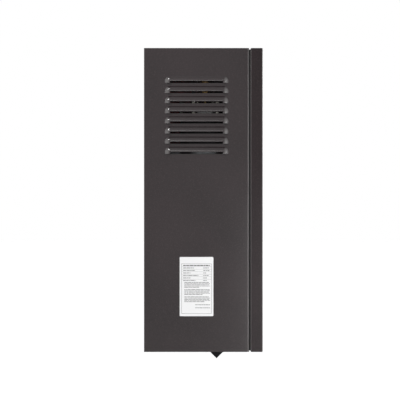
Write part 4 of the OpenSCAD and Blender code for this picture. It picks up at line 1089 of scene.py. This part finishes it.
def draw_coil_core(bm):
    board = board_face()
    left = COIL_LEFT - BODY_GAP
    right = COIL_RIGHT + BODY_GAP
    low = COIL_LOW - BODY_GAP
    high = COIL_HIGH + BODY_GAP
    top = COIL_H + BODY_GAP
    add_box(bm, (left, low, CORE_START), (right, high, CORE_FOOT), board)
    add_box(bm, (left, low, CORE_FOOT), (COIL_LEFT + CORE_LEG, high, top), board)
    add_box(bm, (COIL_RIGHT - CORE_LEG, low, CORE_FOOT), (right, high, top), board)


def draw_coil_tape(bm):
    """The taped winding between the core's legs, and two bands round it."""
    board = board_face()
    left = COIL_LEFT + CORE_LEG
    right = COIL_RIGHT - CORE_LEG
    low = (left, COIL_LOW - WINDING_OUT, CORE_FOOT)
    add_box(bm, low, (right, COIL_HIGH + WINDING_OUT, WINDING_TOP), board)
    for x in (COIL_LEFT + BAND_IN, COIL_RIGHT - BAND_IN - BAND_W):
        low = (x, COIL_LOW - BAND_OUT, BAND_LOW)
        add_box(bm, low, (x + BAND_W, COIL_HIGH + BAND_OUT, BAND_TOP), board)


PLUG_SPANS = ((2, 14), (30, 130))
PLUG_PITCH = 10
PLUG_MIDDLE = 6
PLUG_DEEP = 12
PLUG_H = 9
PLUG_SKIN = 0.2
PLUG_START = 0.05
COLLAR_INNER = 2.1
COLLAR_OUTER = 2.9
COLLAR_H = 0.7
COLLAR_SIDES = 24
LATCH_LOW = (-3, 6.2, -8)
LATCH_HIGH = (3, 7.4, -6)


def plug_poles():
    """Frames on top of the plugs, one for each pole."""
    poles = []
    for left, right in PLUG_SPANS:
        count = int((right - left) / PLUG_PITCH)
        step = (right - left) / count
        poles += [at(board_face(), left + (i + 0.5) * step, PLUG_MIDDLE, PLUG_H) for i in range(count)]
    return poles


def draw_plugs(bm):
    """Plug housings, with a collar round each screw and a latch beside each pole."""
    skin = PLUG_SKIN
    for left, right in PLUG_SPANS:
        low = (left - skin, -skin, PLUG_START)
        add_box(bm, low, (right + skin, PLUG_DEEP + skin, PLUG_H + skin), board_face())
    for pole in plug_poles():
        add_ring(bm, COLLAR_INNER, COLLAR_OUTER, 0, COLLAR_H, pole, COLLAR_SIDES)
        add_box(bm, LATCH_LOW, LATCH_HIGH, pole)


def draw_plug_screws(bm):
    for pole in plug_poles():
        add_screw(bm, PLUG_SCREW, at(pole, 0, 0, PLUG_SKIN))


CHIP_LEFTS = (9, 125)
CHIP_W = 16
CHIP_LOW = 33
CHIP_HIGH = 57
CHIP_H = 6
CHIP_START = 0.3
DOT_R = 1
DOT_H = 0.06
DOT_IN = 2.4
POWER_CHIPS = ((16, 72), (92, 72), (150, 40))
POWER_CHIP_HALF = (3.3, 9)
POWER_CHIP_LOW = 0.8
POWER_CHIP_TOP = 4


def draw_chips(bm):
    board = board_face("control_board")
    gap = BODY_GAP
    for left in CHIP_LEFTS:
        low = (left - gap, CHIP_LOW - gap, CHIP_START)
        add_box(bm, low, (left + CHIP_W + gap, CHIP_HIGH + gap, CHIP_H + gap), board)
        corner = at(board, left + DOT_IN, CHIP_HIGH - DOT_IN, CHIP_H + gap)
        add_disc(bm, DOT_R, 0, DOT_H, corner, ROUND_SIDES)
    half_x, half_y = POWER_CHIP_HALF
    for x, y in POWER_CHIPS:
        low = (x - half_x, y - half_y, POWER_CHIP_LOW)
        add_box(bm, low, (x + half_x, y + half_y, POWER_CHIP_TOP), board_face())


KEY_BODY_OUTER = 3.25
KEY_BODY_INNER = 1.85
KEY_BODY_SPAN = (0.1, 3.7)


def draw_switch_bodies(bm):
    """A square collar behind each key, made of four bars round its plunger."""
    bottom, top = KEY_BODY_SPAN
    outer = KEY_BODY_OUTER
    inner = KEY_BODY_INNER
    bars = (
        (-outer, -outer, -inner, outer),
        (inner, -outer, outer, outer),
        (-inner, -outer, inner, -inner),
        (-inner, inner, inner, outer),
    )
    for key in ("key_minus", "key_mode", "key_plus"):
        low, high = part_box(key)
        middle = ((low + high) / 2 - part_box("control_board")[0]) / MM
        place = at(board_face("control_board"), middle.x, middle.z)
        for left, under, right, over in bars:
            add_box(bm, (left, under, bottom), (right, over, top), place)


# Bent legs, as pairs of reach and height
CHIP_LEG = ((-0.5, 2.4), (0.9, 2.4), (1.3, 2.0), (1.3, 0.3), (1.3, -0.2))
POWER_LEG = ((3.1, 2.2), (4.0, 2.2), (4.3, 1.9), (4.3, -0.2))
RESISTOR_LEG = ((2.8, 1.6), (4.4, 1.6), (4.8, 1.2), (4.8, -0.2))
CHIP_LEG_R = 0.3
THIN_LEG_R = 0.28
LEG_SIDES = 6
LEG_PITCH = 2.54
POWER_CHIP_LEGS = 6
RESISTOR_PLACES = [(34 + 7.5 * i, 22) for i in range(9)]


def add_leg(bm, path, foot, way, radius, board):
    """A bent leg that reaches from a point on the board along a way."""
    points = [Vector((*foot, height)) + reach * Vector(way) for reach, height in path]
    add_tube(bm, points, radius, board, LEG_SIDES)


def draw_legs(bm):
    control = board_face("control_board")
    power = board_face()
    count = int((CHIP_HIGH - CHIP_LOW - 2) / LEG_PITCH)
    for left in CHIP_LEFTS:
        for i in range(count):
            y = (CHIP_LOW + CHIP_HIGH) / 2 + (i - (count - 1) / 2) * LEG_PITCH
            for side, x in ((-1, left), (1, left + CHIP_W)):
                add_leg(bm, CHIP_LEG, (x, y), (side, 0, 0), CHIP_LEG_R, control)
    for x, middle in POWER_CHIPS:
        for i in range(POWER_CHIP_LEGS):
            y = middle + (i - (POWER_CHIP_LEGS - 1) / 2) * LEG_PITCH
            for side in (-1, 1):
                add_leg(bm, POWER_LEG, (x, y), (side, 0, 0), THIN_LEG_R, power)
    for place in RESISTOR_PLACES:
        for side in (-1, 1):
            add_leg(bm, RESISTOR_LEG, place, (0, side, 0), THIN_LEG_R, power)


# Upper half of a resistor, as pairs of radius and distance from its middle
RESISTOR_HALF = ((1.0, 1.4), (1.25, 1.7), (1.25, 2.6), (0.9, 3.1), (0, 3.2))
RESISTOR_RISE = 1.6


def draw_resistors(bm):
    profile = [(radius, -height) for radius, height in reversed(RESISTOR_HALF)] + list(RESISTOR_HALF)
    for place in RESISTOR_PLACES:
        lying = turned(at(board_face(), *place, RESISTOR_RISE), math.pi / 2, "X")
        add_lathe(bm, profile, lying, ROUND_SIDES)


RELAYS = 6
RELAY_W = 22
RELAY_INDENT = 3
RELAY_LINES = (9, 16)
# Rows on a relay, as pairs of their middle and their height
RELAY_ROWS = ((21, 1.6), (16, 1.0), (12.5, 1.0))


def draw_relay_print(bm):
    draw = random.Random(LABEL_SEED + 2)
    face = box_frame("relays", (0, 0, 0), FRONT)
    pitch = (size_of("relays").x - RELAY_W) / (RELAYS - 1)
    for i in range(RELAYS):
        left = i * pitch + RELAY_INDENT
        for middle, tall in RELAY_ROWS:
            end = left + draw.uniform(*RELAY_LINES)
            print_words(bm, left, end, middle, tall, face, draw, FOOT_WORD)


def fit_boards():
    new_solid("board_screws", draw_board_screws, "zinc", edge=0.2)
    new_solid("pole_screws", draw_pole_screws, "zinc", edge=0.2)
    new_solid("capacitor_sleeves", draw_sleeves, "relay_black", edge=0.12)
    new_solid("capacitor_tops", draw_can_tops, "zinc", edge=0.04)
    new_solid("coil_core", draw_coil_core, "relay_black", edge=0.4)
    new_solid("coil_tape", draw_coil_tape, "light_plastic", edge=0.4)
    new_solid("board_plugs", draw_plugs, "terminal_white", edge=0.3)
    new_solid("plug_screws", draw_plug_screws, "zinc", edge=0.08)
    new_solid("board_chips", draw_chips, "relay_black", edge=0.3)
    new_solid("switch_bodies", draw_switch_bodies, "black_plastic", edge=0.15)
    new_solid("chip_legs", draw_legs, "zinc")
    new_solid("resistors", draw_resistors, "light_plastic")
    new_piece("relay_print", draw_relay_print, WHITE_INK)


# Pump scale, element nuts, cutout tabs, the vessel's seam and the relief valve's spring

SPEEDS = 3
SPEED_START = 90
SPEED_TURN = 60
SCALE_R = 20.0
SCALE_NUMBER_H = 5
SCALE_STROKE = (15, 16.8)
SCALE_W = 0.7
SCALE_RING = (14.2, 14.6)
KNOB_MARK_LOW = (-0.7, 2, -0.98)
KNOB_MARK_HIGH = (0.7, 12.4, -0.5)


def draw_pump_scale(bm):
    face = front_face("pump_box")
    for i in range(SPEEDS):
        angle = math.radians(SPEED_START + SPEED_TURN * i)
        print_bar(bm, *SCALE_STROKE, 0, SCALE_W, turned(face, angle))
        add_number(bm, i + 1, SCALE_NUMBER_H, at(face, *polar(SCALE_R, angle)))
    add_ring(bm, *SCALE_RING, -INK_T, INK_T, face, DIAL_SIDES)


def draw_knob_mark(bm):
    add_box(bm, KNOB_MARK_LOW, KNOB_MARK_HIGH, front_face("speed_knob"))


ELEMENT_LEG_R = 4.0
NUT_BORE_R = ELEMENT_LEG_R + 0.1
NUT_R = 7.0
NUT_TOP = 5.0
WASHER_R = 7.2
WASHER_SINK = 0.05
WASHER_TOP = 1.0
NUT_SIDES = 6
SIDE_STEPS = 4


def hexagon(radius):
    """A hexagon's outline, with points along its sides too."""
    corners = [Vector(corner) for corner in circle(radius, NUT_SIDES)]
    points = []
    for one, other in zip(corners, corners[1:] + corners[:1]):
        points += [tuple(one.lerp(other, step / SIDE_STEPS)) for step in range(SIDE_STEPS)]
    return points


def draw_element_nuts(bm):
    plate = box_frame("heating_elements", (0.5, 0.5, 0), UP)
    plate.translation.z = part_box("element_plate")[1].z
    reach_x, reach_y, _ = [side / 2 - ELEMENT_LEG_R for side in size_of("heating_elements")]
    bore = circle(NUT_BORE_R, NUT_SIDES * SIDE_STEPS)
    sides = hexagon(NUT_R)
    sections = ((bore, WASHER_TOP), (sides, WASHER_TOP), (sides, NUT_TOP), (bore, NUT_TOP))
    for x in (-reach_x, 0, reach_x):
        for y in (-reach_y, reach_y):
            nut = at(plate, x, y)
            add_ring(bm, NUT_BORE_R, WASHER_R, -WASHER_SINK, WASHER_TOP, nut, len(bore))
            join_rings(bm, [add_verts(bm, outline, z, nut) for outline, z in sections], closed=True)


TAB_X = 8
TAB_Y = 9
TAB_HALF_T = 0.4
# Right half of a tab's outline, from its foot to its tip
TAB_HALF = [(3.1, -0.5), (3.1, 6), (1.8, 7.6)]


def draw_cutout_tabs(bm):
    outline = [(-x, y) for x, y in TAB_HALF] + TAB_HALF[::-1]
    for x in (-TAB_X, TAB_X):
        foot = at(box_frame("thermal_cutout", (0.5, 0, 1), UP), x, TAB_Y)
        add_prism(bm, outline, -TAB_HALF_T, TAB_HALF_T, turned(foot, math.pi / 2, "X"))


SEAM_H = 7.0
SEAM_OUT = 1.2
SEAM_SINK = 0.4
SEAM_ROUND = 0.6
SEAM_SHOULDER = 0.7 * SEAM_OUT
VESSEL_CORNER = 30.0
CORNER_STEPS = 8


def draw_vessel_seam(bm):
    """The rolled seam round the middle of the vessel."""
    vessel = box_frame("expansion_vessel", (0.5, 0.5, 0.5), UP)
    inner_x, inner_y, _ = [side / 2 - VESSEL_CORNER for side in size_of("expansion_vessel")]
    half = [(-SEAM_SINK, -SEAM_H / 2), (SEAM_SHOULDER, SEAM_ROUND - SEAM_H / 2)]
    section = half + [(SEAM_OUT, 0)] + [(out, -z) for out, z in reversed(half)]
    rings = []
    for out, z in section:
        outline = []
        for quarter, (side_x, side_y) in enumerate(((1, 1), (-1, 1), (-1, -1), (1, -1))):
            for i in range(CORNER_STEPS + 1):
                x, y = polar(VESSEL_CORNER + out, (quarter + i / CORNER_STEPS) * math.pi / 2)
                outline.append((side_x * inner_x + x, side_y * inner_y + y))
        rings.append(add_verts(bm, outline, z, vessel))
    join_rings(bm, rings, closed=True)


SPRING_TURNS = 5
SPRING_STEPS = 20
WIRE_R = 0.72


def draw_spring(bm):
    """A coil whose first and last half turns lie flat."""
    size = size_of("relief_spring")
    rise = size.z - 2 * WIRE_R
    radius = size.x / 2 - WIRE_R
    count = SPRING_TURNS * SPRING_STEPS
    points = []
    for i in range(count + 1):
        share = min(1, max(0, (i - SPRING_STEPS / 2) / (count - SPRING_STEPS)))
        points.append((*polar(radius, 2 * math.pi * i / SPRING_STEPS), WIRE_R + rise * share))
    add_tube(bm, points, WIRE_R, box_frame("relief_spring", (0.5, 0.5, 0), UP))


def fit_spring():
    """The relief valve's spring as a coil on the valve spindle, in place of the plain spring part."""
    steel = MATERIALS["element_steel"]
    coil = new_piece("spring_coil", draw_spring, steel, "valve_spindle")
    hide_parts("relief_spring")
    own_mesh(coil)


def fit_fittings():
    fit_spring()
    new_piece("pump_scale", draw_pump_scale, WHITE_INK)
    new_piece("knob_mark", draw_knob_mark, WHITE_INK, "pump_knob")
    new_solid("element_nuts", draw_element_nuts, "zinc", edge=0.2)
    new_solid("cutout_tabs", draw_cutout_tabs, "zinc", edge=0.1)
    new_solid("vessel_seam", draw_vessel_seam, "vessel_red")


# Stage: pale floor, white surroundings and studio lamps

FLOOR_Z = -0.3
FLOOR_HALF = 30
FLOOR_COLOR = (0.8, 0.8, 0.8)
FLOOR_ROUGH = 0.9
FLOOR_GLOW = 0.85
WHITE = (1, 1, 1, 1)
WORLD_LIGHT = 0.13
PANEL_MIDDLE = (-0.19, -0.12, 0.32)


def floor_material():
    """Pale from above and clear from below, so that the underside can be seen."""
    made = Finish("floor", FLOOR_COLOR, FLOOR_ROUGH, Emission_Color=WHITE)
    made.put("Emission Strength", made.strength(0, FLOOR_GLOW))
    below = made.node("ShaderNodeNewGeometry").outputs["Backfacing"]
    clear = made.node("ShaderNodeBsdfTransparent").outputs[0]
    either = made.node("ShaderNodeMixShader", {0: below, 1: made.shader.outputs[0], 2: clear})
    made.feed(made.tree.nodes["Material Output"].inputs["Surface"], either.outputs[0])
    return made


def make_floor():
    grid = partial(bmesh.ops.create_grid, x_segments=1, y_segments=1, size=FLOOR_HALF)
    floor = new_mesh("floor", grid, floor_material().material)
    floor.location = (0, 0, FLOOR_Z)


def make_world():
    world = bpy.data.worlds.new("studio")
    world.use_nodes = True
    bpy.context.scene.world = world
    made = Nodes(world.node_tree)
    background = made.tree.nodes["Background"].inputs
    made.feed(background["Color"], WHITE)
    made.feed(background["Strength"], made.strength(WORLD_LIGHT, 1))


def add_lamp(name, place, target, size, watts):
    """A rectangular lamp, with its size in metres."""
    data = bpy.data.lights.new(name, "AREA")
    data.shape = "RECTANGLE"
    data.size, data.size_y = size
    data.energy = watts
    lamp = new_object(name, data)
    lamp.location = place
    aim(lamp, target)


def make_lamps():
    """A small key for sharp glints, strips beside it that grade the panel, and soft fills all round."""
    add_lamp("key", (-1.39, 0.66, 1.65), PANEL_MIDDLE, size=(0.26, 0.26), watts=25)
    add_lamp("near_soft", (-0.85, -0.36, 0.02), (-0.19, -0.22, 0.05), size=(0.2, 0.6), watts=1.5)
    add_lamp("top_strip", (-1.35, -0.12, 1.3), (-0.19, -0.12, 0.45), size=(0.6, 0.1), watts=1.6)
    add_lamp("seam_strip", (-1.09, -1.29, 0.3), (-0.19, -0.22, 0.35), size=(0.12, 0.7), watts=4.8)
    add_lamp("front_fill", (0.7, -2.4, 0.55), (0, -0.2, 0.3), size=(1.2, 1.0), watts=30)
    add_lamp("right_soft", (2.2, -0.8, 0.4), (0.1, -0.1, 0.3), size=(1.4, 1.0), watts=36)
    add_lamp("back_soft", (0.6, 2.2, 0.35), (0, 0, 0.3), size=(1.4, 1.0), watts=24)


make_camera()
for node_name in NODES:
    dress_node(node_name)
print_label()
print_front()
print_underside()
new_solid("socket_threads", draw_threads, "brass")
fit_boards()
fit_fittings()
make_floor()
make_world()
make_lamps()
bpy.context.scene.view_settings.view_transform = "Standard"
